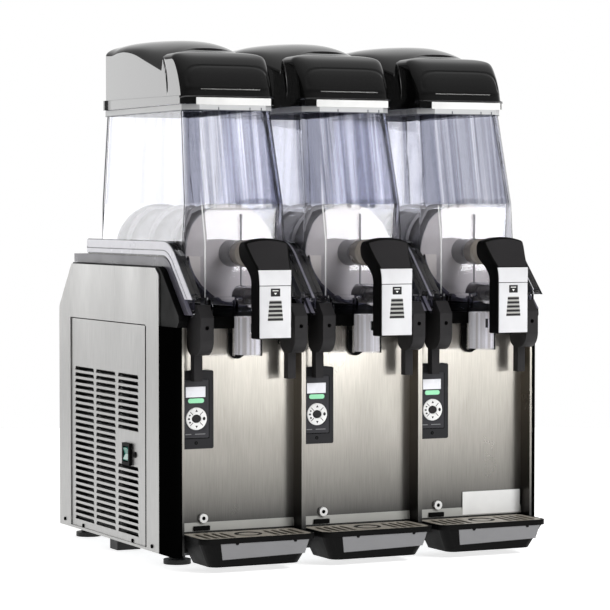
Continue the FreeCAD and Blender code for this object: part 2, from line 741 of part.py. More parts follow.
def tap_piston():
    """Piston of the tap, with two ring grooves and a thin stem that follows the lever."""
    radius = BARREL_BORE - 0.3
    head = rod("y", (0, -226, BARREL_Z), radius, 46)
    stem = rod("y", (0, TAP_BACK_Y + 0.8, BARREL_Z), 5, 50)
    grooves = []
    for y in (-220.0, -212.0):
        groove = rod("y", (0, y, BARREL_Z), radius + 1, 3)
        grooves.append(groove.cut(rod("y", (0, y - 1, BARREL_Z), radius - 1.5, 5)))
    return fuse([head, stem]).cut(Part.makeCompound(grooves))


def latch():
    """Locking lever of the bowl, hung between two lugs from its pin."""
    outline = [
        (-230, 350, 0),
        (-230, 379, 2),
        (-215, 397, 3),
        (LATCH_PIN_Y + 9, 397, 6),
        (LATCH_PIN_Y + 12, 384, 6),
        (-178, 366, 8),
        (-178, 322, 18),
        (-230, 322, 24),
    ]
    lever = prism("x", outline, LATCH_X - LATCH_HALF, LATCH_X + LATCH_HALF)
    stalk = box(LATCH_X - 6.5, LATCH_X + 6.5, -197, -183, 283, 330)
    pin_length = LUG_OUTER_X + LUG_THICK - LUG_INNER_X
    pin = rod("x", (LUG_INNER_X, LATCH_PIN_Y, LATCH_PIN_Z), LATCH_PIN_RADIUS, pin_length)
    screw_hole = rod("y", (LATCH_X, -231, 363.5), 3.2, 10)
    return fuse([lever, stalk, pin]).cut(screw_hole)


# --- drip trays ----------------------------------------------------------------------------------
def tray_section(z, half, front_y, inset):
    """Plan outline of the drip tray at one height."""
    outline = [
        V(-half + inset, TRAY_BACK_Y - inset, z),
        V(half - inset, TRAY_BACK_Y - inset, z),
        V(half - inset, front_y + inset, z),
        V(-half + inset, front_y + inset, z),
    ]
    return rounded_wire(outline, [4, 4, 14, 14])


TRAY_WALL = 2.5
GRILLE_THICK = 2.0


def drip_tray():
    """Drip tray: tapered tub with a flat rim that carries the grille."""
    rim_half = 94.5
    floor_half = 73.0
    tub = Part.makeLoft(
        [
            tray_section(TRAY_BOTTOM_Z, floor_half, TRAY_FRONT_Y + 13, 0),
            tray_section(TRAY_TOP_Z - 8, rim_half - 3, TRAY_FRONT_Y + 2, 0),
        ],
        True,
        True,
    )
    hollow = Part.makeLoft(
        [
            tray_section(TRAY_BOTTOM_Z + TRAY_WALL, floor_half, TRAY_FRONT_Y + 13, TRAY_WALL),
            tray_section(TRAY_TOP_Z - 7.9, rim_half - 3, TRAY_FRONT_Y + 2, TRAY_WALL),
        ],
        True,
        True,
    )
    rim_outer = tray_section(TRAY_TOP_Z - 8, rim_half, TRAY_FRONT_Y, 0)
    rim = Part.Face(rim_outer).extrude(V(0, 0, 8))
    rim_inner = tray_section(TRAY_TOP_Z - 9, rim_half, TRAY_FRONT_Y, 6)
    rim = rim.cut(Part.Face(rim_inner).extrude(V(0, 0, 10)))
    seat_wire = tray_section(TRAY_TOP_Z - GRILLE_THICK - 0.5, rim_half, TRAY_FRONT_Y, 3.5)
    rim = rim.cut(Part.Face(seat_wire).extrude(V(0, 0, 10)))
    return fuse([tub.cut(hollow), rim])


def tray_grille():
    """Grille with a row of long round-ended slots on both sides of a round drain."""
    z = TRAY_TOP_Z - GRILLE_THICK - 0.2
    plate_wire = tray_section(z, 94.5, TRAY_FRONT_Y, 4)
    plate = Part.Face(plate_wire).extrude(V(0, 0, GRILLE_THICK))
    half_width = 4.0
    round_end = half_width - 0.1
    slots = []
    for side in (-1, 1):
        for column in range(4):
            x = side * (36 + column * 13.5)
            outline = [
                (x - half_width, -237, round_end),
                (x + half_width, -237, round_end),
                (x + half_width, -177, round_end),
                (x - half_width, -177, round_end),
            ]
            slots.append(prism("z", outline, z - 1, z + 5))
    drain = rod("z", (0, -206, z - 1), 20, 5).cut(rod("z", (0, -206, z - 2), 14, 8))
    bridge = box(-30, 30, -209, -203, z - 1, z + 5)
    slots.append(drain.cut(bridge))
    return plate.cut(Part.makeCompound(slots))


# --- inside the body ---------------------------------------------------------------------------
FAN_X = -252.0
FAN_Y = 110.0
FAN_Z = 165.0


def condenser():
    """Finned condenser block behind the left louvres, with a round fan shroud."""
    block = box(-300, -272, 22, 198, 50, 280)
    shroud = rod("x", (-272, FAN_Y, FAN_Z), 95, 36).cut(rod("x", (-273, FAN_Y, FAN_Z), 91, 38))
    arms = [box(-242, -236, FAN_Y - 92, FAN_Y + 92, FAN_Z - 6, FAN_Z + 6)]
    motor = rod("x", (-242, FAN_Y, FAN_Z), 30, 50)
    foot = box(-300, -262, 30, 190, 24, 50)
    return fuse([block, shroud, motor, foot] + arms)


def condenser_fan():
    """Fan wheel with five pitched blades."""
    hub = rod("x", (-262, FAN_Y, FAN_Z), 22, 16)
    blades = []
    for i in range(5):
        blade = box(-1.5, 1.5, -18, 18, 18, 84)
        blade.rotate(V(0, 0, 0), V(0, 0, 1), 24)
        blade.translate(V(-254, FAN_Y, FAN_Z))
        blade.rotate(V(0, FAN_Y, FAN_Z), V(1, 0, 0), i * 72.0)
        blades.append(blade)
    return fuse([hub] + blades)


def compressor():
    """Hermetic compressor: domed can on a mounting plate."""
    plate = box(20, 180, 120, 250, 24, 30)
    can = rod("z", (100, 185, 30), 62, 110)
    dome = Part.makeSphere(62, V(100, 185, 140)).common(box(0, 200, 100, 270, 140, 185))
    return fuse([plate, can, dome])


def panel_screws():
    """Screws along the lower edge of the side skins and the louvred panels."""
    skin = BODY_HALF_WIDTH
    panel = BODY_HALF_WIDTH - SHEET
    places = [(skin, -96.9, 28.2), (skin, 275.7, 30.3), (panel, -14.0, 27.2), (panel, 197.6, 27.2)]
    screws = []
    for surface, y, z in places:
        head = rod("x", (surface, y, z), 3.0, 1.6)
        shank = rod("x", (surface - SHEET, y, z), 1.5, SHEET)
        screws += both_sides(fuse([head, shank]))
    return screws


def main():
    os.makedirs("parts", exist_ok=True)
    screws = Part.makeCompound(panel_screws())
    save("base_pan", base_pan())
    save_group("rubber_feet", rubber_feet())
    save("side_skin_right", side_skin().cut(screws))
    save("side_skin_left", mirrored(side_skin()).cut(screws))
    save("louvre_panel_right", louvre_panel(False).cut(screws))
    save("louvre_panel_left", mirrored(louvre_panel(True)).cut(screws))
    save_group("switch_housing", [switch_housing(), reset_button()])
    save("power_rocker", power_rocker())
    save("rear_panel", rear_panel().cut(gland_hole()).cut(top_deck()))
    save("cable_gland", cable_gland())
    save("top_deck", top_deck())
    trim = corner_trim().cut(base_pan()).cut(shifted(front_panel(), BAY_PITCH))
    save("corner_trim_right", trim)
    save("corner_trim_left", mirrored(trim))
    save_group("panel_screws", panel_screws())
    save("condenser", condenser())
    save("condenser_fan", condenser_fan())
    save("compressor", compressor())

    grouped = {
        "front_panels": [front_panel()],
        "control_boxes": [control_box()],
        "display_windows": [display_window()],
        "panel_bushes": [panel_bush()],
        "tray_hooks": [tray_hook()],
        "crossbars": [crossbar()],
        "bowl_seats": [bowl_seat().cut(bowl())],
        "bowl_gaskets": [bowl_gasket().cut(bowl())],
        "evaporators": [evaporator()],
        "gearmotors": [gearmotor()],
    }
    for name, shapes in grouped.items():
        save_group(name, [shifted(shape, x) for x in BAY_CENTRES for shape in shapes])

    one_per_bay = {
        "bowl": bowl(),
        "lid": lid(),
        "tap": tap(),
        "tap_piston": tap_piston(),
        "auger": auger(),
        "drip_tray": drip_tray(),
        "tray_grille": tray_grille(),
        "nav_ring": key_ring(),
        "menu_button": menu_button(),
        "latch_right": latch(),
        "latch_left": mirrored(latch()),
    }
    for name, shape in one_per_bay.items():
        save_in_bays(name, shape)


main()
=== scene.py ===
"""Looks of a counter-top slushie machine with three bowls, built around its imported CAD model.

X runs across the machine, -Y is its front and Z is up, as in the CAD model. The pieces made here are
drawn in millimetres. Camera, lights and materials are in metres.
"""

import json
import math

import bmesh
import bpy
from mathutils import Matrix, Vector


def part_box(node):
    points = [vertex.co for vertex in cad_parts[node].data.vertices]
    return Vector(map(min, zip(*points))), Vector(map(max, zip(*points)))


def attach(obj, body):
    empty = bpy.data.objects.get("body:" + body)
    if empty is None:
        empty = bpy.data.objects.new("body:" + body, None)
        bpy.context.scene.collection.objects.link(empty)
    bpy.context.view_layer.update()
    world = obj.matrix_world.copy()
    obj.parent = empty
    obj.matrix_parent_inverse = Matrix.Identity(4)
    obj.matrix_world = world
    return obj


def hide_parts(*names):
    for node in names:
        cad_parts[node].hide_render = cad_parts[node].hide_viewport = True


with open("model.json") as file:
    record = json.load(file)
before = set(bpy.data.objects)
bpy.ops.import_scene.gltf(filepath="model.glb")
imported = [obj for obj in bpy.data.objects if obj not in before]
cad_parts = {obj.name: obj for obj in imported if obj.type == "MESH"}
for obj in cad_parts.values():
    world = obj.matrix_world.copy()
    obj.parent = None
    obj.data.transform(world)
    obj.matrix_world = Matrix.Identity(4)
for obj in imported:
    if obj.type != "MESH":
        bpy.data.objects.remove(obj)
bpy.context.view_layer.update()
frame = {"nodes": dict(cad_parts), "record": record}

MM = 0.001
BAY_NAMES = ("1", "2", "3")
BAY_X = {name: sum(corner.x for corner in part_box("lid_" + name)) / 2 / MM for name in BAY_NAMES}


# --- shader tools ---
def set_inputs(tree, node, inputs):
    """Give each input a value, or a link from another node's output."""
    for place, value in inputs.items():
        if isinstance(value, bpy.types.NodeSocket):
            tree.links.new(value, node.inputs[place])
        else:
            node.inputs[place].default_value = value


def add_node(tree, kind, inputs=None, **settings):
    """New node with its settings and inputs."""
    node = tree.nodes.new(kind)
    for setting, value in settings.items():
        setattr(node, setting, value)
    set_inputs(tree, node, inputs or {})
    return node


def plain_shader(name, colour, roughness, metallic=0.0):
    """New material with one Principled shader. Returns the material, its tree and the shader."""
    material = bpy.data.materials.new(name)
    material.use_nodes = True
    tree = material.node_tree
    shader = tree.nodes["Principled BSDF"]
    set_inputs(tree, shader, {"Base Color": (*colour, 1), "Roughness": roughness, "Metallic": metallic})
    return material, tree, shader


def axes(tree, kind, output):
    """X, Y and Z of a node's output, such as the place or the direction of the surface."""
    source = add_node(tree, kind).outputs[output]
    return add_node(tree, "ShaderNodeSeparateXYZ", {0: source}).outputs


def noise_field(tree, scale, stretch=(1, 1, 1), detail=3.0):
    """Noise over the piece's own coordinates in metres, stretched along an axis for grain."""
    place = add_node(tree, "ShaderNodeTexCoord").outputs["Object"]
    mapping = add_node(tree, "ShaderNodeMapping", {"Vector": place, "Scale": stretch})
    noise = {"Vector": mapping.outputs[0], "Scale": scale, "Detail": detail}
    return add_node(tree, "ShaderNodeTexNoise", noise).outputs["Fac"]


def spread(tree, value, low, high, start=0.3, end=0.7):
    """Map a value between start and end to a value between low and high."""
    limits = {"From Min": start, "From Max": end, "To Min": low, "To Max": high}
    return add_node(tree, "ShaderNodeMapRange", {"Value": value, **limits}).outputs["Result"]


def blend_colours(tree, factor, first, second):
    """Colour that runs from first to second with the factor."""
    inputs = {"Factor": factor, "A": (*first, 1), "B": (*second, 1)}
    return add_node(tree, "ShaderNodeMix", inputs, data_type="RGBA").outputs["Result"]


def colour_product(tree, first, second):
    """Two colours multiplied."""
    inputs = {"Factor": 1.0, "A": first, "B": second}
    return add_node(tree, "ShaderNodeMix", inputs, data_type="RGBA", blend_type="MULTIPLY").outputs["Result"]


def product(tree, first, second):
    """Two values multiplied."""
    return add_node(tree, "ShaderNodeMath", {0: first, 1: second}, operation="MULTIPLY").outputs[0]


def largest(tree, first, second):
    """The larger of two values."""
    return add_node(tree, "ShaderNodeMath", {0: first, 1: second}, operation="MAXIMUM").outputs[0]


def add_bump(tree, shader, height, strength, distance):
    """Raise the surface by a height value."""
    inputs = {"Height": height, "Strength": strength, "Distance": distance}
    bump = add_node(tree, "ShaderNodeBump", inputs)
    tree.links.new(bump.outputs[0], shader.inputs["Normal"])


def shaded(colour, factor):
    """A colour made darker or lighter."""
    return tuple(channel * factor for channel in colour)


# --- camera, light and floor ---
WHITE = (1, 1, 1, 1)
CAMERA_PLACE = (-1.8063, -3.7262, 0.5407)
CAMERA_TURN = 25.785
CAMERA_DOWN = 2.148
CAMERA_LENS = 153.44
SENSOR_WIDTH = 36.0
CLIP_END = 200.0
LIGHT_AIM = Vector((0, 0, 0.42))
# Azimuth, elevation, distance, width, height, power, and whether the light shows as a reflection.
LIGHTS = {
    "panel_behind_left": (154, 3.5, 8.0, 3.0, 1.6, 45, True),
    "panel_front_right": (-25.8, 0.9, 6.0, 1.2, 0.42, 30, True),
    "matt_front": (-22, 30, 4.0, 2.2, 1.8, 125, False),
    "matt_left": (100, 35, 4.0, 2.0, 2.0, 9, False),
    "fill_above": (0, 82, 3.2, 2.6, 2.6, 9, False),
}
WORLD_GLOW = ((0.0, 0.08), (0.5, 0.16), (0.8, 0.30), (0.93, 0.85), (1.0, 0.92))
SKY_BAND = (0.3, 0.95)
SKY_GLOW = 0.22
FLOOR_RADIUS = 2.3
FLOOR_COLOUR = (0.88, 0.88, 0.88)
FLOOR_GLOW = 0.75


def make_camera():
    """Long lens, low in front of the machine's left corner."""
    data = bpy.data.cameras.new("camera")
    data.lens = CAMERA_LENS
    data.sensor_width = SENSOR_WIDTH
    data.clip_end = CLIP_END
    camera = bpy.data.objects.new("camera", data)
    camera.location = CAMERA_PLACE
    camera.rotation_euler = (math.radians(90 - CAMERA_DOWN), 0, math.radians(-CAMERA_TURN))
    bpy.context.scene.collection.objects.link(camera)
    bpy.context.scene.camera = camera


def softbox(name, azimuth, elevation, distance, width, height, power, reflected):
    """Area light that faces the machine. Azimuth 0 is straight in front, 90 on the left."""
    side = math.radians(azimuth)
    rise = math.radians(elevation)
    away = Vector((-math.sin(side) * math.cos(rise), -math.cos(side) * math.cos(rise), math.sin(rise)))
    data = bpy.data.lights.new(name, "AREA")
    data.shape = "RECTANGLE"
    data.size = width
    data.size_y = height
    data.energy = power
    light = bpy.data.objects.new(name, data)
    light.location = LIGHT_AIM + away * distance
    light.rotation_euler = (-away).to_track_quat("-Z", "Y").to_euler()
    light.visible_camera = False
    light.visible_glossy = reflected
    light.visible_transmission = reflected
    bpy.context.scene.collection.objects.link(light)


def make_lights():
    """Two bright panels that show as reflections, and soft lights that only brighten matt parts."""
    for name, settings in LIGHTS.items():
        softbox(name, *settings)


def world_strength(tree):
    """Glow that is strong behind the machine and weak in front, with a little more from above."""
    place = add_node(tree, "ShaderNodeTexCoord").outputs["Generated"]
    turn = math.radians(CAMERA_TURN)
    ahead = (math.sin(turn), math.cos(turn), 0)
    facing = add_node(tree, "ShaderNodeVectorMath", {0: place, 1: ahead}, operation="DOT_PRODUCT")
    half = {0: facing.outputs["Value"], 1: 0.5, 2: 0.5}
    share = add_node(tree, "ShaderNodeMath", half, operation="MULTIPLY_ADD").outputs[0]
    glow = add_node(tree, "ShaderNodeFloatCurve", {"Value": share})
    curve = glow.mapping.curves[0]
    for point, spot in zip(curve.points, (WORLD_GLOW[0], WORLD_GLOW[-1])):
        point.location = spot
    for spot in WORLD_GLOW[1:-1]:
        curve.points.new(*spot)
    glow.mapping.update()
    height = axes(tree, "ShaderNodeTexCoord", "Generated")["Z"]
    sky = spread(tree, height, 0, SKY_GLOW, *SKY_BAND)
    return add_node(tree, "ShaderNodeMath", {0: glow.outputs[0], 1: sky}).outputs[0]


def make_world():
    """White surroundings: bright behind the machine and dim in front, plain white to the camera."""
    world = bpy.data.worlds.new("studio")
    bpy.context.scene.world = world
    world.use_nodes = True
    tree = world.node_tree
    tree.nodes.clear()
    around = add_node(tree, "ShaderNodeBackground", {"Color": WHITE, "Strength": world_strength(tree)})
    plain = add_node(tree, "ShaderNodeBackground", {"Color": WHITE})
    seen = add_node(tree, "ShaderNodeLightPath").outputs["Is Camera Ray"]
    mix = add_node(tree, "ShaderNodeMixShader", {"Fac": seen, 1: around.outputs[0], 2: plain.outputs[0]})
    add_node(tree, "ShaderNodeOutputWorld", {0: mix.outputs[0]})


def make_floor():
    """Pale round floor under the machine."""
    mesh = bpy.data.meshes.new("floor")
    form = bmesh.new()
    bmesh.ops.create_circle(form, cap_ends=True, segments=64, radius=FLOOR_RADIUS)
    form.to_mesh(mesh)
    form.free()
    floor = bpy.data.objects.new("floor", mesh)
    bpy.context.scene.collection.objects.link(floor)
    material, tree, shader = plain_shader("floor_white", FLOOR_COLOUR, 0.9)
    glow = {"Emission Color": WHITE, "Emission Strength": FLOOR_GLOW, "Specular IOR Level": 0.1}
    set_inputs(tree, shader, glow)
    mesh.materials.append(material)


# --- materials ---
STEEL_GRAIN = 1400
GRAIN_STRETCH = {"x": (0.02, 1, 1), "y": (1, 0.02, 1), "z": (1, 1, 0.02)}
# Heights over which the front sheet's painted reflection and shade run.
FRONT_PAINTED_FADE = (0.06, 0.36)
AUGER_FADE = (-0.120, -0.095)
BOWL_IOR = 1.33
BOWL_FRONT = (-0.15, -0.10)
BOWL_NECK = (0.540, 0.548)
# Strength of the painted shade on the bowls' side walls.
WALL_SHADE = 0.4
LID_IOR = 1.58


def brushed_steel(name, colour, low, high, grain="z", contrast=0.12):
    """Stainless sheet with fine brushed grain along one axis and faint cloudy patches."""
    material, tree, shader = plain_shader(name, colour, (low + high) / 2, 1.0)
    fine = noise_field(tree, STEEL_GRAIN, GRAIN_STRETCH[grain], 4.0)
    ends = shaded(colour, 1 - contrast), shaded(colour, 1 + contrast)
    tone = blend_colours(tree, spread(tree, fine, 0, 1), *ends)
    cloud = noise_field(tree, 14, (1, 1, 0.5), 5.0)
    set_inputs(tree, shader, {"Base Color": tone, "Roughness": spread(tree, cloud, low, high)})
    add_bump(tree, shader, fine, 0.12, 0.0002)
    return material


def front_steel():
    """Brushed front sheet with painted reflection and shade: creamy at the top, dark towards the drip tray
    and on the side flanges.
    """
    material = brushed_steel("front_steel", (0.66, 0.65, 0.62), 0.26, 0.38)
    tree = material.node_tree
    # Painted reflection and shade: light cream at the top, nearly black towards the drip tray.
    height = spread(tree, axes(tree, "ShaderNodeTexCoord", "Object")["Z"], 0, 1, *FRONT_PAINTED_FADE)
    tint = blend_colours(tree, height, (0.055, 0.055, 0.054), (0.70, 0.665, 0.60))
    fine = noise_field(tree, STEEL_GRAIN, GRAIN_STRETCH["z"], 4.0)
    grain = blend_colours(tree, spread(tree, fine, 0, 1), (0.8, 0.8, 0.8), (1, 1, 1))
    # Painted shade: faces that turn sideways, the side flanges, are darkened.
    across = axes(tree, "ShaderNodeTexCoord", "Normal")["X"]
    sideways = spread(tree, product(tree, across, across), 0, 1, 0.4, 0.7)
    painted_side_shade = blend_colours(tree, sideways, (1, 1, 1), (0.30, 0.27, 0.24))
    tone = colour_product(tree, colour_product(tree, tint, grain), painted_side_shade)
    tree.links.new(tone, tree.nodes["Principled BSDF"].inputs["Base Color"])
    return material


def moulded(name, colour, roughness, specular=0.5, grain_scale=900, grain=0.0002):
    """Moulded plastic or rubber with fine texture and a slightly uneven sheen."""
    material, tree, shader = plain_shader(name, colour, roughness)
    add_bump(tree, shader, noise_field(tree, grain_scale, detail=2.0), 0.25, grain)
    cloud = noise_field(tree, 25, detail=4.0)
    sheen = spread(tree, cloud, roughness * 0.85, roughness * 1.15)
    tone = blend_colours(tree, cloud, shaded(colour, 0.85), shaded(colour, 1.15))
    set_inputs(tree, shader, {"Specular IOR Level": specular, "Roughness": sheen, "Base Color": tone})
    return material


def two_tone(name, front, rear, fade):
    """Moulded plastic whose colour changes with depth in the machine."""
    material = moulded(name, rear, 0.4)
    tree = material.node_tree
    depth = axes(tree, "ShaderNodeNewGeometry", "Position")["Y"]
    tone = blend_colours(tree, spread(tree, depth, 0, 1, *fade), front, rear)
    tree.links.new(tone, tree.nodes["Principled BSDF"].inputs["Base Color"])
    return material


def gloss_black():
    """Polished black lid plastic with the faint waviness of a moulding."""
    material, tree, shader = plain_shader("gloss_black", (0.004, 0.004, 0.004), 0.05)
    add_bump(tree, shader, noise_field(tree, 9, detail=1.0), 0.06, 0.002)
    film = noise_field(tree, 60, detail=4.0)
    set_inputs(tree, shader, {"IOR": LID_IOR, "Roughness": spread(tree, film, 0.03, 0.08)})
    return material


def clear_plastic(name, tint, streak_and_shade_tone):
    """Clear plastic with upright moulding streaks in its front part, and painted shade on its slanted corners
    and side walls. Lamps shine through it.
    """
    material, tree, shader = plain_shader(name, tint, 0.0)
    place = axes(tree, "ShaderNodeTexCoord", "Object")
    facing = axes(tree, "ShaderNodeTexCoord", "Normal")
    front = spread(tree, place["Y"], 1, 0.1, *BOWL_FRONT)
    above = spread(tree, place["Z"], 0, 1, *BOWL_NECK)
    weight = product(tree, front, above)
    streaks = noise_field(tree, 130, (1, 0.02, 0.006), 4.0)
    streaky = product(tree, weight, spread(tree, streaks, 0, 1, 0.34, 0.6))
    # Painted shade: slanted corners and side walls take the darker colour by the way they face.
    slanted = product(tree, facing["X"], facing["Y"])
    corner = product(tree, spread(tree, product(tree, slanted, slanted), 0, 0.9, 0.08, 0.2), above)
    sideways = product(tree, facing["X"], facing["X"])
    wall = product(tree, spread(tree, sideways, 0, WALL_SHADE, 0.8, 0.95), above)
    soft = spread(tree, noise_field(tree, 30, (1, 1, 0.05)), 0, 1, 0.35, 0.6)
    streaks_and_shade = largest(tree, largest(tree, corner, streaky), product(tree, wall, soft))
    add_bump(tree, shader, product(tree, streaks, weight), 0.3, 0.002)
    film = noise_field(tree, 40, (1, 1, 0.4), 3.0)
    looks = {"Transmission Weight": 1.0, "IOR": BOWL_IOR, "Roughness": spread(tree, film, 0.0, 0.04)}
    set_inputs(tree, shader, {**looks, "Base Color": blend_colours(tree, streaks_and_shade, tint, streak_and_shade_tone)})
    through = add_node(tree, "ShaderNodeBsdfTransparent", {"Color": (*tint, 1)})
    shadow = add_node(tree, "ShaderNodeLightPath").outputs["Is Shadow Ray"]
    mix = add_node(tree, "ShaderNodeMixShader", {"Fac": shadow, 1: shader.outputs[0], 2: through.outputs[0]})
    tree.links.new(mix.outputs[0], tree.nodes["Material Output"].inputs["Surface"])
    return material


def painted_streaky_reflection(name):
    """Half-clear plastic painted with a streaky reflection that runs from smoky brown to bright white, and a
    faint painted glow.
    """
    material, tree, shader = plain_shader(name, (0.8, 0.78, 0.75), 0.15)
    streaks = spread(tree, noise_field(tree, 170, (1, 1, 0.004), 2.0), 0, 1, 0.4, 0.6)
    tone = blend_colours(tree, streaks, (0.60, 0.56, 0.52), (1.0, 0.99, 0.98))
    # Painted glow: the sleeve shines faintly though it is no lamp.
    glow = {"Emission Strength": 0.12, "Emission Color": (0.9, 0.88, 0.86, 1)}
    set_inputs(tree, shader, {"Transmission Weight": 0.15, **glow, "Base Color": tone})
    return material


def glowing(name, colour, roughness, strength):
    """Lit window: plastic with a faint light of its own."""
    material = moulded(name, colour, roughness)
    glow = {"Emission Color": (*colour, 1), "Emission Strength": strength}
    set_inputs(material.node_tree, material.node_tree.nodes["Principled BSDF"], glow)
    return material


# Colour, lowest and highest roughness, and the axis of the grain where it is not upright.
STEELS = {
    "stainless": ((0.45, 0.447, 0.44), 0.36, 0.43),
    "inner_steel": ((0.35, 0.36, 0.37), 0.35, 0.5, "x"),
    "dark_steel": ((0.03, 0.03, 0.03), 0.4, 0.5),
    "drum_steel": ((0.30, 0.29, 0.28), 0.3, 0.42, "y"),
    "screw_steel": ((0.5, 0.5, 0.5), 0.2, 0.3, "y"),
    # Painted shade: the fins are made dark because they sit in shadow inside the machine.
    "fin_aluminium": ((0.10, 0.10, 0.10), 0.4, 0.55, "z"),
}
# Colour, roughness, specular level, and the scale and depth of the grain.
PLASTICS = {
    # Painted highlight: the steel grille has a flat beige colour in place of its warm highlight.
    "grille_steel": ((0.40, 0.365, 0.31), 0.35),
    "plate_silver": ((0.62, 0.62, 0.635), 0.4, 0.4),
    "black_plastic": ((0.004, 0.004, 0.004), 0.45, 0.04),
    "charcoal": ((0.022, 0.021, 0.022), 0.55, 0.15, 1600, 0.0003),
    "trim_black": ((0.001, 0.001, 0.001), 0.6, 0.0),
    "gasket_grey": ((0.07, 0.066, 0.06), 0.35),
    "overlay_grey": ((0.031, 0.031, 0.035), 0.45, 0.2, 1600, 0.0003),
    "housing_grey": ((0.016, 0.016, 0.018), 0.5, 0.2, 1600, 0.0003),
    # Dark lines on the clear bowls; on their rear corners and flange edges they are painted shade.
    "edge_grey": ((0.05, 0.055, 0.07), 0.3),
    "crease_highlight": ((0.14, 0.14, 0.135), 0.2),
    # Painted highlight along the lids' crease.
    "rim_light": ((0.46, 0.465, 0.47), 0.3),
    # Painted highlight on the clear flange's edges.
    "highlight_white": ((0.66, 0.65, 0.71), 0.25),
    "disc_grey": ((0.62, 0.58, 0.535), 0.45),
    "boss_smoke": ((0.19, 0.17, 0.15), 0.25),
    "rib_clear": ((0.25, 0.25, 0.26), 0.2),
    # Pale label print, and the painted reflection on the front panels' bottom folds.
    "pale_label_and_highlight": ((0.36, 0.36, 0.34), 0.5),
    "label_grey": ((0.16, 0.16, 0.165), 0.5),
    "pale_green": ((0.30, 0.74, 0.44), 0.35),
    "grey_seat": ((0.11, 0.105, 0.13), 0.3, 0.4),
    "white_plastic": ((0.74, 0.74, 0.73), 0.35),
    "piston_rubber": ((0.09, 0.085, 0.08), 0.4),
    "rubber": ((0.008, 0.008, 0.008), 0.6),
    "motor_grey": ((0.12, 0.13, 0.14), 0.45, 0.5, 300, 0.0004),
    "black_paint": ((0.012, 0.012, 0.012), 0.35, 0.5, 300, 0.0003),
}
MATERIALS = {
    **{name: brushed_steel(name, *looks) for name, looks in STEELS.items()},
    **{name: moulded(name, *looks) for name, looks in PLASTICS.items()},
    "front_steel": front_steel(),
    "spout_painted_reflection": painted_streaky_reflection("spout_painted_reflection"),
    "auger_grey": two_tone("auger_grey", (0.38, 0.37, 0.35), (0.46, 0.445, 0.42), AUGER_FADE),
    "gloss_black": gloss_black(),
    "clear_bowl": clear_plastic("clear_bowl", (0.87, 0.875, 0.92), (0.31, 0.32, 0.39)),
    "display": glowing("display", (0.72, 0.72, 0.76), 0.3, 0.12),
    "green_lens": glowing("green_lens", (0.015, 0.16, 0.12), 0.12, 0.15),
}
SPECIAL_MATERIALS = {
    "front_panels": "front_steel",
    "auger": "auger_grey",
    "latch_left": "charcoal",
    "latch_right": "charcoal",
    "control_boxes": "housing_grey",
    "corner_trim": "trim_black",
    "panel_screws": "trim_black",
    "bowl_gaskets": "gasket_grey",
}


def dress_cad_nodes():
    """Give every CAD node the material of its slot in the record, or its own shade of it."""
    slots = {part["node"]: part["material_slot"] for part in frame["record"]["subparts"]}
    for name, node in frame["nodes"].items():
        family = name.rsplit("_", 1)[0]
        special = SPECIAL_MATERIALS.get(name) or SPECIAL_MATERIALS.get(family)
        node.data.materials.clear()
        node.data.materials.append(MATERIALS[special or slots[name]])


# --- mesh tools ---
WELD_REACH = 1e-6
AXIS_PLACES = {
    "x": lambda a, b, level: (level, a, b),
    "y": lambda a, b, level: (a, level, b),
    "z": lambda a, b, level: (a, b, level),
}


def rounded(corners, steps=6):
    """Closed outline through (a, b, radius) corners, each one turned into an arc."""
    outline = []
    count = len(corners)
    for i, (a, b, radius) in enumerate(corners):
        corner = Vector((a, b))
        if radius == 0:
            outline.append((a, b))
            continue
        back = (Vector(corners[i - 1][:2]) - corner).normalized()
        ahead = (Vector(corners[(i + 1) % count][:2]) - corner).normalized()
        half = back.angle(ahead) / 2
        centre = corner + (back + ahead).normalized() * (radius / math.sin(half))
        start = corner + back * (radius / math.tan(half)) - centre
        sweep = start.angle_signed(corner + ahead * (radius / math.tan(half)) - centre)
        for step in range(steps + 1):
            turned = start.copy()
            turned.rotate(Matrix.Rotation(-sweep * step / steps, 2))
            outline.append(tuple(centre + turned))
    return outline


def rectangle(a0, a1, b0, b1, radius=0.0):
    """Closed rectangle outline with rounded corners."""
    return rounded([(a0, b0, radius), (a1, b0, radius), (a1, b1, radius), (a0, b1, radius)])


def ellipse(a, b, radius_a, radius_b=None, segments=40):
    """Closed ellipse or circle outline."""
    radius_b = radius_a if radius_b is None else radius_b
    turns = [2 * math.pi * i / segments for i in range(segments)]
    return [(a + radius_a * math.cos(turn), b + radius_b * math.sin(turn)) for turn in turns]


def shifted(outline, across, rise=0.0):
    """Outline moved across and up."""
    return [(a + across, b + rise) for a, b in outline]


def add_ring(form, points):
    """Vertices at points in millimetres."""
    return [form.verts.new((x * MM, y * MM, z * MM)) for x, y, z in points]


def join_rings(form, lower, upper):
    """Faces between two closed rings of the same number of vertices."""
    for i in range(len(lower)):
        ahead = (i + 1) % len(lower)
        form.faces.new((lower[i], lower[ahead], upper[ahead], upper[i]))


def add_loft(form, rings):
    """Skin through rings of points, closed by a cap at each end."""
    loops = [add_ring(form, ring) for ring in rings]
    for lower, upper in zip(loops, loops[1:]):
        join_rings(form, lower, upper)
    form.faces.new(loops[0][::-1])
    form.faces.new(loops[-1])


def add_prism(form, outline, axis, low, high, bevel=0.0):
    """Outline extruded along an axis, with its end edges drawn in by the bevel."""
    place = AXIS_PLACES[axis]
    levels = [(outline, low), (outline, high)]
    if bevel:
        centre_a = sum(a for a, _ in outline) / len(outline)
        centre_b = sum(b for _, b in outline) / len(outline)
        reach = max(max(abs(a - centre_a), abs(b - centre_b)) for a, b in outline)
        shrink = 1 - bevel / reach
        small = [(centre_a + (a - centre_a) * shrink, centre_b + (b - centre_b) * shrink) for a, b in outline]
        levels = [(small, low), (outline, low + bevel), (outline, high - bevel), (small, high)]
    add_loft(form, [[place(a, b, level) for a, b in ring] for ring, level in levels])


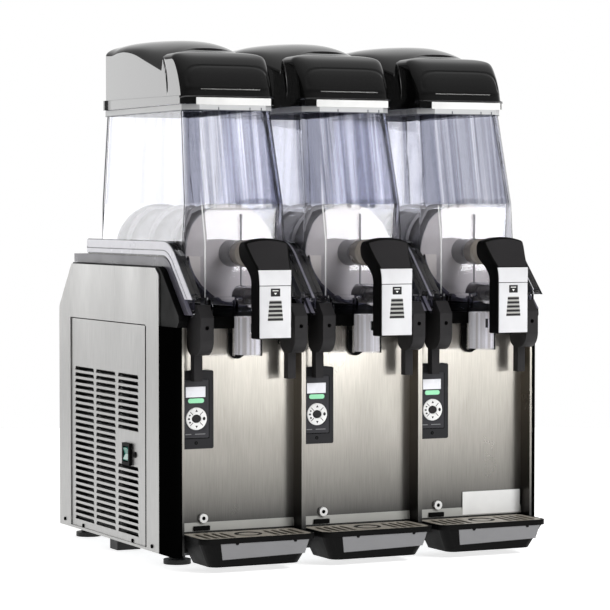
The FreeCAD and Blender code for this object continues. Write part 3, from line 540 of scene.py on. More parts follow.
def add_lathe(form, profile, centre, axis, segments=40):
    """Turned form: profile holds (radius, place along the axis) from one end to the other."""
    place = AXIS_PLACES[axis]
    rings = []
    for radius, level in profile:
        rings.append([place(a, b, level) for a, b in ellipse(*centre, radius, segments=segments)])
    add_loft(form, rings)


def add_sleeve(form, outer, inner, low, high):
    """Ring of even height between two outlines that hold the same number of points."""
    corners = ((outer, low), (outer, high), (inner, high), (inner, low))
    rings = [add_ring(form, [(a, b, level) for a, b in outline]) for outline, level in corners]
    for ring, following in zip(rings, rings[1:] + rings[:1]):
        join_rings(form, ring, following)


def add_block(form, low, high):
    """Box between two corners."""
    outline = [(low[0], low[1]), (high[0], low[1]), (high[0], high[1]), (low[0], high[1])]
    add_prism(form, outline, "z", low[2], high[2])


def add_bar(form, line, section):
    """Bar along a line of (x, y, z) points, with a level section of (across, depth) offsets."""
    add_loft(form, [[(x + a, y + b, z) for a, b in section] for x, y, z in line])


def new_mesh(name, form):
    """Turn a bmesh into a mesh with outward normals."""
    bmesh.ops.recalc_face_normals(form, faces=form.faces)
    mesh = bpy.data.meshes.new(name)
    form.to_mesh(mesh)
    form.free()
    return mesh


def cut_plate(name, outlines, axis, low, high, bevel=0.0):
    """Flat plate with holes: the first outline is its edge and the others are holes."""
    curve = bpy.data.curves.new(name, "CURVE")
    curve.dimensions = "2D"
    curve.fill_mode = "BOTH"
    curve.extrude = ((high - low) / 2 - bevel) * MM
    curve.bevel_depth = bevel * MM
    curve.offset = -bevel * MM
    curve.bevel_resolution = 1
    for outline in outlines:
        spline = curve.splines.new("POLY")
        spline.points.add(len(outline) - 1)
        for point, (a, b) in zip(spline.points, outline):
            point.co = (a * MM, b * MM, 0, 1)
        spline.use_cyclic_u = True
    holder = bpy.data.objects.new(name, curve)
    bpy.context.scene.collection.objects.link(holder)
    graph = bpy.context.evaluated_depsgraph_get()
    flat = bpy.data.meshes.new_from_object(holder.evaluated_get(graph))
    bpy.data.objects.remove(holder)
    form = bmesh.new()
    form.from_mesh(flat)
    bpy.data.meshes.remove(flat)
    bmesh.ops.remove_doubles(form, verts=form.verts, dist=WELD_REACH)
    place = AXIS_PLACES[axis]
    for vertex in form.verts:
        vertex.co = place(vertex.co.x, vertex.co.y, (low + high) / 2 * MM + vertex.co.z)
    return new_mesh(name, form)


def add_piece(name, mesh, material, body, slot=None, replaces=(), sharp=32):
    """Place a finished mesh on a body of the frame."""
    mesh.materials.clear()
    mesh.materials.append(MATERIALS[material])
    for polygon in mesh.polygons:
        polygon.use_smooth = True
    mesh.set_sharp_from_angle(angle=math.radians(sharp))
    piece = bpy.data.objects.new(name, mesh)
    bpy.context.scene.collection.objects.link(piece)
    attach(piece, body)
    slot or material
    if replaces:
        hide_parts(*replaces)
    return piece


def add_form(name, form, *looks, **options):
    """Place a bmesh on a body of the frame."""
    return add_piece(name, new_mesh(name, form), *looks, **options)


def smooth_step(value):
    """0 below 0, 1 above 1 and a smooth run between."""
    value = min(max(value, 0.0), 1.0)
    return value * value * (3 - 2 * value)


def along(points, place):
    """Smooth curve through (place, value) points, for one place."""
    if place <= points[0][0]:
        return points[0][1]
    if place >= points[-1][0]:
        return points[-1][1]
    slopes = []
    for i in range(len(points)):
        before = points[max(i - 1, 0)]
        after = points[min(i + 1, len(points) - 1)]
        slopes.append((after[1] - before[1]) / (after[0] - before[0]))
    i = next(i for i in range(len(points) - 1) if place <= points[i + 1][0])
    start, end = points[i], points[i + 1]
    span = end[0] - start[0]
    t = (place - start[0]) / span
    return (
        (2 * t**3 - 3 * t**2 + 1) * start[1]
        + (t**3 - 2 * t**2 + t) * span * slopes[i]
        + (3 * t**2 - 2 * t**3) * end[1]
        + (t**3 - t**2) * span * slopes[i + 1]
    )


def soft_max(first, second, width):
    """The larger of two values, with a rounded change between them."""
    gap = max(width - abs(first - second), 0.0) / width
    return max(first, second) + gap * gap * width / 4


def soft_min(first, second, width):
    """The smaller of two values, with a rounded change between them."""
    return -soft_max(-first, -second, width)


# --- lids ---
# Depth runs from the front (-) to the back (+). LID_FACE gives heights behind the lid's own front.
LID_HALF = 76.0
LID_FRONT = -150.0
LID_SIDE_FRONT = 19.0
LID_SIDE_BACK = 9
LID_CORNER_RUN = 70
LID_BACK = 184.0
LID_LENGTH = LID_BACK - LID_FRONT
LID_COLUMNS = 88
LID_SHOULDER = [
    (-100, 741), (-64, 748), (-34, 756), (4, 767), (53, 781), (93, 787), (123, 787), (150, 784), (184, 786),
]
LID_CROWN = [
    (-120, 752), (-80, 776.5), (-50, 788.5), (-25, 795), (5, 799.5), (40, 801.8), (80, 803), (150, 803),
    (184, 801),
]
LID_FACE = [(0, 708), (4, 721), (9, 733), (16, 745), (28, 758), (41, 767), (60, 775), (72, 778), (90, 781)]
LID_FACE_DEPTH = 90
LID_ABOVE = 900
LID_FACE_BLEND = 3.0
LID_HOOD_TOP = 778
LID_HOOD_BACK = -61.0
LID_HOOD_BOW = 6
LID_HOOD_DROP = 7
LID_HOOD_STEEP = 4
LID_HOOD_BLEND = 1.6
LID_EDGE_DROP = 2.5
LID_BACK_RADIUS = 12
LID_CREASE = 3.0
CREASE_RUN = 0.06
CREASE_RISE = 1.5
CREASE_LINE = (-50.0, 47.5)
CREASE_STEPS = 12
CREASE_SECTION = ((-0.5, 717.7), (0.6, 717.5), (0.6, 719.1), (-0.5, 718.9))
LID_WALL_SHARES = (0.08, 0.18, 0.3, 0.42, 0.54, 0.66, 0.78, 0.9, 1.0)
LID_BAND_TOP = 708.5
LID_BAND_SLOPE = 3.5 / LID_LENGTH
LID_BAND_LOW = 696.0
LID_BAND_OUT = 1.6
BAND_WIDE_FROM = 150
BAND_WIDE_RUN = 30
BAND_WIDER = 3
BAND_CHAMFER = 0.4
LID_WALL = 3.0
LID_STRIP = (-60, 63, 694.5, 705.5, 0.6)
STRIP_LAYER = (LID_FRONT - LID_BAND_OUT - 1.2, LID_FRONT - LID_BAND_OUT + 0.2)
SEAM_SPAN = 67
SEAM_FOOT = 700
SEAM_HEIGHT = 54
SEAM_POWER = 7
SEAM_SCALE = 56
SEAM_START = 722
SEAM_FADE = 6
SEAM_WIDTH = 2.1
SEAM_DEPTH = 1.5
SEAM_REACH = 75
GROOVE_LINE = [(718, -79), (732, -77.5), (748, -73), (762, -66), (774, -60)]
GROOVE_HALF = 1.5
GROOVE_START = 716
GROOVE_FADE = 5
ROW_STEPS = (1.35, 4.5)
FINE_ROWS = 62
BACK_RUN = 14
BACK_ROWS = 6


def lid_plan(across, depth):
    """Depth in the machine of a point that lies some way behind the lid's curved front."""
    share = abs(across) / LID_HALF
    front_corner = LID_SIDE_FRONT * share**8 * (1 - smooth_step(depth / LID_CORNER_RUN))
    back_corner = -LID_SIDE_BACK * share**12 * (depth / LID_LENGTH) ** 8
    return LID_FRONT + depth + front_corner + back_corner


def lid_height(across, depth):
    """Height of the lid's top surface."""
    share = min(abs(across) / LID_HALF, 1.0)
    y = lid_plan(across, depth)
    shoulder = along(LID_SHOULDER, y)
    dome = shoulder + (along(LID_CROWN, y) - shoulder) * (1 - share**2.3) ** 0.55
    past_hood = max(y - LID_HOOD_BACK + LID_HOOD_BOW * (1 - share), 0)
    hood = LID_HOOD_TOP - LID_HOOD_DROP * share**6 - past_hood * LID_HOOD_STEEP
    top = soft_max(dome, hood, LID_HOOD_BLEND)
    face = along(LID_FACE, depth) if depth < LID_FACE_DEPTH else LID_ABOVE
    if depth > LID_CREASE:
        face += CREASE_RISE
    radius = LID_BACK_RADIUS
    back_round = radius - math.sqrt(max(radius**2 - max(y - (LID_BACK - radius), 0) ** 2, 0))
    return soft_min(face, top, LID_FACE_BLEND) - back_round - LID_EDGE_DROP * share**30


def lid_seam(across, height):
    """How deep the arched seam on the lid's front cuts at a point."""
    share = (abs(across) / SEAM_SPAN) ** SEAM_POWER + (max(height - SEAM_FOOT, 0) / SEAM_HEIGHT) ** SEAM_POWER
    distance = abs(share ** (1 / SEAM_POWER) - 1) * SEAM_SCALE
    ends = smooth_step((height - SEAM_START) / SEAM_FADE)
    return SEAM_DEPTH * ends * max(1 - (distance / SEAM_WIDTH) ** 2, 0)


def lid_side_groove(y, height):
    """How deep the groove between hood and dome cuts into the lid's side wall."""
    depth = max(1 - ((y - along(GROOVE_LINE, height)) / GROOVE_HALF) ** 2, 0) * SEAM_DEPTH
    return depth * smooth_step((height - GROOVE_START) / GROOVE_FADE)


def lid_rows():
    """Depths of the rows of the lid's grid, close together over its front."""
    depths = [0, 1, 2, LID_CREASE, LID_CREASE + CREASE_RUN] + [i * 1.0 for i in range(4, 16)]
    fine, coarse = ROW_STEPS
    depths += [16 + i * fine for i in range(FINE_ROWS)]
    back = LID_LENGTH - BACK_RUN
    while depths[-1] < back - 2:
        depths.append(min(depths[-1] + coarse, back))
    return depths + [back + BACK_RUN * math.sin(math.pi / 2 * i / BACK_ROWS) for i in range(1, BACK_ROWS + 1)]


def lid_grid():
    """Points of the lid's top, row by row from the front, around the middle of the lid."""
    grid = []
    for depth in lid_rows():
        row = []
        for i in range(LID_COLUMNS + 1):
            across = LID_HALF * math.sin(math.pi * (i / LID_COLUMNS - 0.5))
            y = lid_plan(across, depth)
            z = lid_height(across, depth)
            if depth < SEAM_REACH:
                y += lid_seam(across, z)
            row.append((across, y, z))
        grid.append(row)
    return grid


def grid_edge(grid):
    """Items of a grid's edge, once round it."""
    edge = grid[0] + [row[-1] for row in grid[1:]]
    return edge + grid[-1][-2::-1] + [row[0] for row in grid[-2:0:-1]]


def outward_steps(edge):
    """Level outward direction at every point of a closed line."""
    steps = []
    for before, after in zip(edge[-1:] + edge[:-1], edge[1:] + edge[:1]):
        run = Vector((after[0] - before[0], after[1] - before[1]))
        steps.append(Vector((run.y, -run.x)).normalized())
    return steps


def lid_skirt(edge):
    """Rings of (outward shift, height) pairs: the side walls, then the band that stands proud."""
    tops = [LID_BAND_TOP + LID_BAND_SLOPE * (y - LID_FRONT) for _, y, _ in edge]
    for share in LID_WALL_SHARES:
        ring = []
        for (across, y, z), top in zip(edge, tops):
            height = z + (top - z) * share
            on_side = abs(across) > LID_HALF - 1
            ring.append((-lid_side_groove(y, height) if on_side else 0.0, height))
        yield ring
    outs = [LID_BAND_OUT + smooth_step((y - BAND_WIDE_FROM) / BAND_WIDE_RUN) * BAND_WIDER for _, y, _ in edge]
    yield [(out, top - BAND_CHAMFER) for out, top in zip(outs, tops)]
    yield [(out, LID_BAND_LOW) for out in outs]


def lid_mesh(x):
    """Lid: a grid over the whole top, walls down to a band that stands proud at the lower edge."""
    form = bmesh.new()
    grid = lid_grid()
    verts = [add_ring(form, [(x + across, y, z) for across, y, z in row]) for row in grid]
    for lower, upper in zip(verts, verts[1:]):
        for i in range(LID_COLUMNS):
            form.faces.new((lower[i], lower[i + 1], upper[i + 1], upper[i]))
    edge = grid_edge(grid)
    outward = outward_steps(edge)
    previous = grid_edge(verts)
    for shifts in lid_skirt(edge):
        ring = []
        for point, away, (out, height) in zip(edge, outward, shifts):
            shift = away * out
            ring.append((x + point[0] + shift.x, point[1] + shift.y, height))
        following = add_ring(form, ring)
        join_rings(form, previous, following)
        previous = following
    return new_mesh("lid_shell", form)


def mark_open_edges(mesh):
    """Keep the shading of a sheet flat up to its open edge."""
    used = [0] * len(mesh.edges)
    for loop in mesh.loops:
        used[loop.edge_index] += 1
    for edge, count in zip(mesh.edges, used):
        if count == 1:
            edge.use_edge_sharp = True


def make_lid(bay):
    """Glossy domed lid with a thin crease, a lighter strip along the crease as a painted highlight, and a
    bright strip along its front edge.
    """
    x = BAY_X[bay]
    body = "lid_" + bay
    lid = add_piece("lid_shell_" + bay, lid_mesh(x), "gloss_black", body, replaces=[body], sharp=40)
    mark_open_edges(lid.data)
    wall = lid.modifiers.new("wall", "SOLIDIFY")
    wall.thickness = LID_WALL * MM
    wall.offset = -1
    # Painted highlight: a light grey strip along the crease.
    start, end = CREASE_LINE
    crease = bmesh.new()
    rings = []
    for i in range(CREASE_STEPS + 1):
        across = start + (end - start) * i / CREASE_STEPS
        y = lid_plan(across, LID_CREASE)
        rings.append([(x + across, y + a, z) for a, z in CREASE_SECTION])
    add_loft(crease, rings)
    add_form("lid_crease_highlight_" + bay, crease, "crease_highlight", body, "gloss_black")
    strip = shifted(rectangle(*LID_STRIP), x)
    mesh = cut_plate("lid_strip", [strip], "y", *STRIP_LAYER, bevel=0.3)
    add_piece("lid_strip_" + bay, mesh, "white_plastic", body)


# --- bowls ---
# Places across are measured from the middle of the bay.
BOWL_CORNER_LINE = [(80.6, 179.0, 470.0), (80.2, 178.0, 546.0), (71.8, 176.0, 694.0)]
CORNER_SECTION = ((-0.7, -1.2), (0.7, -1.2), (0.7, 1.2), (-0.7, 1.2))
SPOUT_Y = -204.0
SPOUT_BORE = 19.6
SPOUT_LINING = 18.9
SPOUT_HEIGHTS = (322.0, 378.0)
BOWL_RIB = (0.7, -183.2, -179.5, 424.0, 531.0)
DRUM_AXIS = 472.0
DISC_PROFILE = [
    (0.4, -144.0), (30, -143.4), (60, -141.9), (71, -140.6), (73.6, -139.9), (73.6, -139.7), (0.4, -139.6),
]
BOSS_PROFILE = [(12, -206), (16, -206), (20, -203), (20, -183), (19, -180.5), (12, -180.3)]
# Line of the painted highlight strip on the bowl's front corner.
GLINT_LINE = [(-63.2, -179.1, 544.0), (-58.6, -180.1, 490.0), (-58.6, -180.1, 402.0)]
GLINT_SECTION = ((-0.9, -0.7), (0.9, -0.7), (0.9, -0.05), (-0.9, -0.05))
DECK_LEVEL = 452.0
SLOPE_SUM = 576.0
TOE_LEVEL = 405.0
BEND_RADIUS = 30.0
# Places across of the flange's painted edge shade and painted highlights.
FLANGE_MARK_X = (97.45, 97.8, 98.3)
EDGE_SHADE_BAND = (16.2, 38.9, 205.0, 8.0)
HIGHLIGHT_BANDS = ((25.2, 37.5, 203.6, 5.0), (17.4, 23.6, 203.6, 1.0))
RIM_PLAN = (73.3, 54.0, -150.9, -128.9, 181.0)
RIM_THICK = 1.0
RIM_TOP = 695.6
RIM_LINE_LOW = 685.8
RIM_LINE_TOP = 687.2
RIM_NOTCHES = (-23.4, 28.2, 47.0)
NOTCH_HALF = 0.8
NOTCH_TALL = 4
NOTCH_PROUD = 0.3


def make_bowl_edge_shade(bay):
    """Thin dark lines up the rear corners of a bowl: painted shade along its clear edges."""
    form = bmesh.new()
    for side in (-1, 1):
        line = [(BAY_X[bay] + side * half, y, z) for half, y, z in BOWL_CORNER_LINE]
        add_bar(form, line, CORNER_SECTION)
    add_form("bowl_edge_shade_" + bay, form, "edge_grey", "root", "clear_bowl")


def deck_outline(low, high, back, corner):
    """Closed outline of a layer that follows deck and slope, between two offsets from the deck."""
    corners = []
    for offset, radius in ((high, BEND_RADIUS + high), (low, BEND_RADIUS + low)):
        level = DECK_LEVEL + offset
        reach = SLOPE_SUM + offset * math.sqrt(2)
        line = [(back, level, corner), (level - reach, level, radius), (TOE_LEVEL - reach, TOE_LEVEL, 0)]
        corners += line if offset == high else line[::-1]
    return rounded(corners, 8)


def make_flange_highlights(bay):
    """Pale strips with dark outlines along both outer edges of a bowl's flange: painted highlight and painted
    shade on its clear edges.
    """
    outline, highlights = bmesh.new(), bmesh.new()
    for side in (-1, 1):
        inner, middle, outer = (BAY_X[bay] + side * edge for edge in FLANGE_MARK_X)
        add_prism(outline, deck_outline(*EDGE_SHADE_BAND), "x", *sorted((inner, middle)))
        for band in HIGHLIGHT_BANDS:
            add_prism(highlights, deck_outline(*band), "x", *sorted((middle, outer)))
    add_form("flange_edge_shade_" + bay, outline, "edge_grey", "root", "clear_bowl")
    add_form("flange_highlights_" + bay, highlights, "highlight_white", "root", "clear_bowl")


def rim_plan(x, grow):
    """Plan of a bowl just below its rim, grown outwards by a distance."""
    half, front_half, front, corner, back = RIM_PLAN
    right = [
        (front_half + grow / 2, front - grow), (half + grow, corner - grow / 2), (half + grow, back + grow),
    ]
    left = [(-a, b) for a, b in right[::-1]]
    outline = left[1:] + right + left[:1]
    return [(x + a, b) for a, b in outline]


def make_rim(bay):
    """Thick rim band below the lid, with a dark lower line and small notches in front."""
    x = BAY_X[bay]
    outer, inner = rim_plan(x, RIM_THICK), rim_plan(x, 0)
    band, lines = bmesh.new(), bmesh.new()
    add_sleeve(band, outer, inner, RIM_LINE_TOP, RIM_TOP)
    add_sleeve(lines, outer, inner, RIM_LINE_LOW, RIM_LINE_TOP)
    front = RIM_PLAN[2] - RIM_THICK
    for place in RIM_NOTCHES:
        low = (x + place - NOTCH_HALF, front - NOTCH_PROUD, RIM_LINE_TOP)
        add_block(lines, low, (x + place + NOTCH_HALF, front, RIM_LINE_TOP + NOTCH_TALL))
    add_form("rim_band_" + bay, band, "rim_light", "root", "clear_bowl")
    add_form("rim_line_" + bay, lines, "edge_grey", "root", "clear_bowl")


def make_bowl_front(bay):
    """Sleeve inside the spout that carries a painted streaky reflection, and a thin rib up the middle of the
    bowl's front.
    """
    x = BAY_X[bay]
    sheen, rib = bmesh.new(), bmesh.new()
    outer, inner = (ellipse(x, SPOUT_Y, radius) for radius in (SPOUT_BORE, SPOUT_LINING))
    add_sleeve(sheen, outer, inner, *SPOUT_HEIGHTS)
    add_form("spout_painted_reflection_" + bay, sheen, "spout_painted_reflection", "root", "clear_bowl")
    half, front, back, low, high = BOWL_RIB
    add_block(rib, (x - half, front, low), (x + half, back, high))
    add_form("bowl_rib_" + bay, rib, "rib_clear", "root", "clear_bowl")


def make_drum_front(bay):
    """Smooth disc over the front of the auger, the boss on the bowl in front of it, and a white strip on the
    bowl's front corner as a painted highlight.
    """
    x = BAY_X[bay]
    disc, boss, glint = bmesh.new(), bmesh.new(), bmesh.new()
    add_lathe(disc, DISC_PROFILE, (x, DRUM_AXIS), "y", 64)
    add_form("auger_disc_" + bay, disc, "disc_grey", "auger_" + bay, "white_plastic")
    add_lathe(boss, BOSS_PROFILE, (x, DRUM_AXIS), "y")
    add_form("bowl_boss_" + bay, boss, "boss_smoke", "root", "clear_bowl")
    # Painted highlight: a white strip along the bowl's front corner.
    add_bar(glint, [(x + across, y, z) for across, y, z in GLINT_LINE], GLINT_SECTION)
    add_form("bowl_glint_" + bay, glint, "white_plastic", "root", "clear_bowl")


# --- taps ---
# Height, front depth, back depth and half width of the tap lever.
TAP_STATIONS = [
    (349, -301, -274, 27),
    (420, -301, -274, 27),
    (436, -301, -273, 27),
    (449, -299.5, -262, 27.5),
    (465, -287, -245, 31),
    (481, -276, -247, 34.5),
    (488, -271.5, -253, 35),
]
TAP_FOOT = TAP_STATIONS[0][0]
TAP_HEAD = TAP_STATIONS[-1][0]
TAP_LEVELS = [TAP_FOOT, TAP_FOOT + 1, TAP_FOOT + 60] + [418 + i * (TAP_HEAD - 418) / 20 for i in range(21)]
TAP_CROWN = 6.0
CROWN_START = 455
TAP_CORNER = 3.0
FOOT_CHAMFER = 1.2
# Level, draw-in, corner radius and extra rise.
CROWN_LAYERS = ((TAP_HEAD, 1.6, 2.4, 1.0), (TAP_HEAD, 4.0, 2.4, 1.5))
EDGE_STEPS = 12
FACE_FOOT = 450.6
FACE_HEAD = TAP_HEAD - 1.5
FACE_STEPS = 16
FACE_MARGIN = 3.2
FACE_HALF_COLUMNS = 6
FACE_PROUD = 0.9
FACE_SUNK = 0.6
PLATE_FACE = -301.0
PLATE = (-25.0, 25.0, 350.5, 426.2, 0.8)
PLATE_LAYER = (PLATE_FACE - 1.3, PLATE_FACE + 0.3)
PLATE_TOP_DEPTHS = (-1.3, 0.4)
PLATE_TOP_ROWS = ((427.2, 25.0), (434, 25.2), (441, 25.6), (449.5, 26.4))
MARK_LAYER = (PLATE_FACE - 1.55, PLATE_FACE - 1.2)
BACKING_LAYER = (PLATE_FACE - 1.4, PLATE_FACE - 1.2)
SIGN_LAYER = (PLATE_FACE - 1.75, PLATE_FACE - 1.45)
MARK_COUNT = 5
MARK_LEVEL = 402.5
MARK_PITCH = 6.2
MARK_HALF_TALL = 1.7
MARK_HALF_WIDE = 10.0
MARK_WIDER = 0.6
MARK_TAPER = 0.3
MARK_BACKING = [(-9.4, 405.4), (9.4, 405.4), (12.4, 375.6), (-12.4, 375.6)]
BADGE = (-7.4, 7.6, 411.2, 422.8, 0.6)
BADGE_ARROW = [(-2.4, 416.5), (2.4, 416.5), (0, 413.5)]
BADGE_BAR = (-4.6, 4.6, 419.0, 420.2, 0.3)


def tap_section(height):
    """Front, back and half width of the lever at one height."""
    return tuple(along([(s[0], s[k]) for s in TAP_STATIONS], height) for k in (1, 2, 3))


def tap_outline(half, front, back, corner):
    """Plan outline of the lever with extra points along its front and back edges."""
    outline = []
    ring = rectangle(-half, half, front, back, corner)
    for start, end in zip(ring, ring[1:] + ring[:1]):
        outline.append(start)
        reach = end[0] - start[0]
        if abs(reach) > half:
            outline += [(start[0] + reach * i / EDGE_STEPS, start[1]) for i in range(1, EDGE_STEPS)]
    return outline


def crowned(across, half, height):
    """Rise of the lever's arched top at one place."""
    rise = smooth_step((height - CROWN_START) / (TAP_HEAD - CROWN_START))
    return TAP_CROWN * rise * (1 - (across / half) ** 2)


def tap_mesh(x):
    """Tap lever: square body below, a handle above that flares, leans back and ends in a crown."""
    foot, *others = [(level, 0.0, TAP_CORNER, 0.0) for level in TAP_LEVELS]
    layers = [(foot[0], FOOT_CHAMFER, *foot[2:]), *others, *CROWN_LAYERS]
    rings = []
    for level, draw_in, corner, rise in layers:
        front, back, half = tap_section(level)
        outline = tap_outline(half - draw_in, front + draw_in, back - draw_in, corner)
        rings.append([(x + a, b, level + crowned(a, half, level) + rise) for a, b in outline])
    form = bmesh.new()
    add_loft(form, rings)
    return new_mesh("tap_handle", form)


def tap_face_form(x):
    """Matt panel on the slanted upper front of the lever."""
    rings = []
    for level in [FACE_FOOT + i * (FACE_HEAD - FACE_FOOT) / FACE_STEPS for i in range(FACE_STEPS + 1)]:
        front, back, half = tap_section(level)
        columns = range(2 * FACE_HALF_COLUMNS + 1)
        row = [(half - FACE_MARGIN) * (i / FACE_HALF_COLUMNS - 1) for i in columns]
        ring = [(x + a, front - FACE_PROUD, level + crowned(a, half, level)) for a in row]
        ring += [(x + a, front + FACE_SUNK, level + crowned(a, half, level)) for a in row[::-1]]
        rings.append(ring)
    form = bmesh.new()
    add_loft(form, rings)
    return form


def make_tap_marks(bay):
    """Dark bars over a pale backing, and a small badge with an arrow, on the tap's plate."""
    x = BAY_X[bay]
    body = "tap_" + bay
    marks, backing, signs = bmesh.new(), bmesh.new(), bmesh.new()
    for i in range(MARK_COUNT):
        low = MARK_LEVEL - MARK_PITCH * i - MARK_HALF_TALL
        high = low + 2 * MARK_HALF_TALL
        half = MARK_HALF_WIDE + MARK_WIDER * i
        bar = [(MARK_TAPER - half, high), (half - MARK_TAPER, high), (half, low), (-half, low)]
        add_prism(marks, shifted(bar, x), "y", *MARK_LAYER)
    add_prism(backing, shifted(MARK_BACKING, x), "y", *BACKING_LAYER)
    add_form("tap_marks_back_" + bay, backing, "pale_label_and_highlight", body, "plate_silver")
    add_prism(marks, shifted(rectangle(*BADGE), x), "y", *MARK_LAYER)
    add_form("tap_marks_" + bay, marks, "charcoal", body, "black_plastic")
    for sign in (BADGE_ARROW, rectangle(*BADGE_BAR)):
        add_prism(signs, shifted(sign, x), "y", *SIGN_LAYER)
    add_form("tap_badge_" + bay, signs, "white_plastic", body)


def make_tap(bay):
    """Tap lever with its silver plate."""
    x = BAY_X[bay]
    body = "tap_" + bay
    add_piece("tap_handle_" + bay, tap_mesh(x), "black_plastic", body, replaces=[body], sharp=50)
    add_form("tap_face_" + bay, tap_face_form(x), "charcoal", body, "black_plastic", sharp=50)
    plate = shifted(rectangle(*PLATE), x)
    mesh = cut_plate("tap_plate", [plate], "y", *PLATE_LAYER, bevel=0.35)
    add_piece("tap_plate_" + bay, mesh, "plate_silver", body)
    rings = []
    for level, half in PLATE_TOP_ROWS:
        near, far = (tap_section(level)[0] + depth for depth in PLATE_TOP_DEPTHS)
        corners = ((-half, near), (half, near), (half, far), (-half, far))
        rings.append([(x + a, b, level) for a, b in corners])
    form = bmesh.new()
    add_loft(form, rings)
    add_form("tap_plate_top_" + bay, form, "plate_silver", body)
    make_tap_marks(bay)


# --- control panels ---
# Places across are measured from the left edge of the housing.
CONTROL_EDGE = -96.3
CONTROL_FACE = -176.0
OVERLAY = (1.6, 45.0, 197.5, 284.4)
DISPLAY = (7.9, 40.1, 258.0, 274.0)
PILL = (11.3, 37.2, 249.6, 256.6)
DASHES = ((7.0, 16.5), (22.5, 39.0))
DASH_HEIGHTS = (202.6, 203.8)
OVERLAY_LAYER = (CONTROL_FACE - 1.4, CONTROL_FACE)
# Layer of the painted shadow behind the control overlay.
SHADOW_LINE_LAYER = (CONTROL_FACE - 0.6, CONTROL_FACE - 0.05)
PANE_LAYER = (CONTROL_FACE - 0.9, CONTROL_FACE + 0.4)
PILL_LAYER = (CONTROL_FACE - 1.75, CONTROL_FACE - 1.2)
DASH_LAYER = (CONTROL_FACE - 1.55, CONTROL_FACE - 1.3)
OVERLAY_SCREW = [(2.6, 0.4), (2.6, -0.5), (2.2, -0.8), (1.4, -0.8), (1.2, 0.2)]
SCREW_HEIGHT = 190
RING_ACROSS = 25.0
RING_HEIGHT = 226.2
RING_RADIUS = 16.8
RING_FACE = -177.2
RING_GAP = 0.5
RING_LAYER = (RING_FACE - 0.5, RING_FACE + 4.5)
KEY_LAYER = (RING_FACE - 0.9, RING_FACE + 4.5)
KEY_HALF = (7.0, 5.8)
RING_MARK_LAYER = (RING_FACE - 0.75, RING_FACE - 0.4)
DIVIDER = ((8.0, -0.45), (14.4, -0.45), (14.4, 0.45), (8.0, 0.45))
# Place across, height, half width, half height and segments of the small signs, from the ring's middle.
RING_DOTS = (
    (12.2, 0, 2.2, 2.6, 20),
    (-12.4, 0, 1.8, 1.44, 16),
    (-11.0, 5.2, 1.4, 1.12, 16),
    (-10.8, -5.4, 1.7, 1.36, 16),
)


def framed(box, left, grow=0.0, radius=1.0):
    """Rectangle around a box of a control panel, grown by a distance."""
    a0, a1, b0, b1 = box
    return rectangle(left + a0 - grow, left + a1 + grow, b0 - grow, b1 + grow, radius)


def make_overlay(bay, left, ring_x):
    """Raised overlay with openings for the display and the keys, and a dark sheet around it that shows to its
    right and below as a painted shadow.
    """
    ring_hole = ellipse(ring_x, RING_HEIGHT, RING_RADIUS + RING_GAP)
    openings = [framed(DISPLAY, left, radius=0.6), ring_hole]
    mesh = cut_plate("overlay", [framed(OVERLAY, left), *openings], "y", *OVERLAY_LAYER, bevel=0.3)
    add_piece("overlay_" + bay, mesh, "overlay_grey", "root", "black_plastic")
    # Painted shadow: a black sheet shifted right and down behind the overlay.
    a0, a1, b0, b1 = OVERLAY
    step = rectangle(left + a0 + 0.6, left + a1 + 1.1, b0 - 1.0, b1 - 0.6, 1.0)
    mesh = cut_plate("overlay_shadow_line", [step, *openings], "y", *SHADOW_LINE_LAYER)
    add_piece("overlay_shadow_line_" + bay, mesh, "trim_black", "root", "black_plastic")


def make_control_panel(bay):
    """Overlay, display, pale badge, print lines and screw of one bay."""
    left = BAY_X[bay] + CONTROL_EDGE
    ring_x = left + RING_ACROSS
    make_overlay(bay, left, ring_x)
    pane, pill, dashes, screw = bmesh.new(), bmesh.new(), bmesh.new(), bmesh.new()
    add_prism(pane, framed(DISPLAY, left, -0.2, 0.6), "y", *PANE_LAYER, bevel=0.2)
    add_form("display_pane_" + bay, pane, "display", "root")
    add_prism(pill, framed(PILL, left, radius=3.3), "y", *PILL_LAYER, bevel=0.2)
    add_form("pill_" + bay, pill, "pale_green", "root", "green_lens")
    for dash in DASHES:
        add_prism(dashes, framed((*dash, *DASH_HEIGHTS), left, radius=0.3), "y", *DASH_LAYER)
    add_form("overlay_dashes_" + bay, dashes, "label_grey", "root", "plate_silver")
    profile = [(radius, CONTROL_FACE + place) for radius, place in OVERLAY_SCREW]
    add_lathe(screw, profile, (ring_x, SCREW_HEIGHT), "y", 24)
    add_form("overlay_screw_" + bay, screw, "black_plastic", "root")


def ring_marks(ring_x):
    """Dark marks on the key ring: four dividing lines and a small sign on each key."""
    outlines = []
    for quarter in range(4):
        turn = Matrix.Rotation(math.radians(45 + 90 * quarter), 2)
        outlines.append([tuple(turn @ Vector(corner)) for corner in DIVIDER])
    for rise in (1, -1):
        outlines.append([(-2.0, rise * 10.4), (2.0, rise * 10.4), (0, rise * 13.9)])
    outlines += [ellipse(*dot) for dot in RING_DOTS]
    form = bmesh.new()
    for outline in outlines:
        add_prism(form, shifted(outline, ring_x, RING_HEIGHT), "y", *RING_MARK_LAYER)
    return form


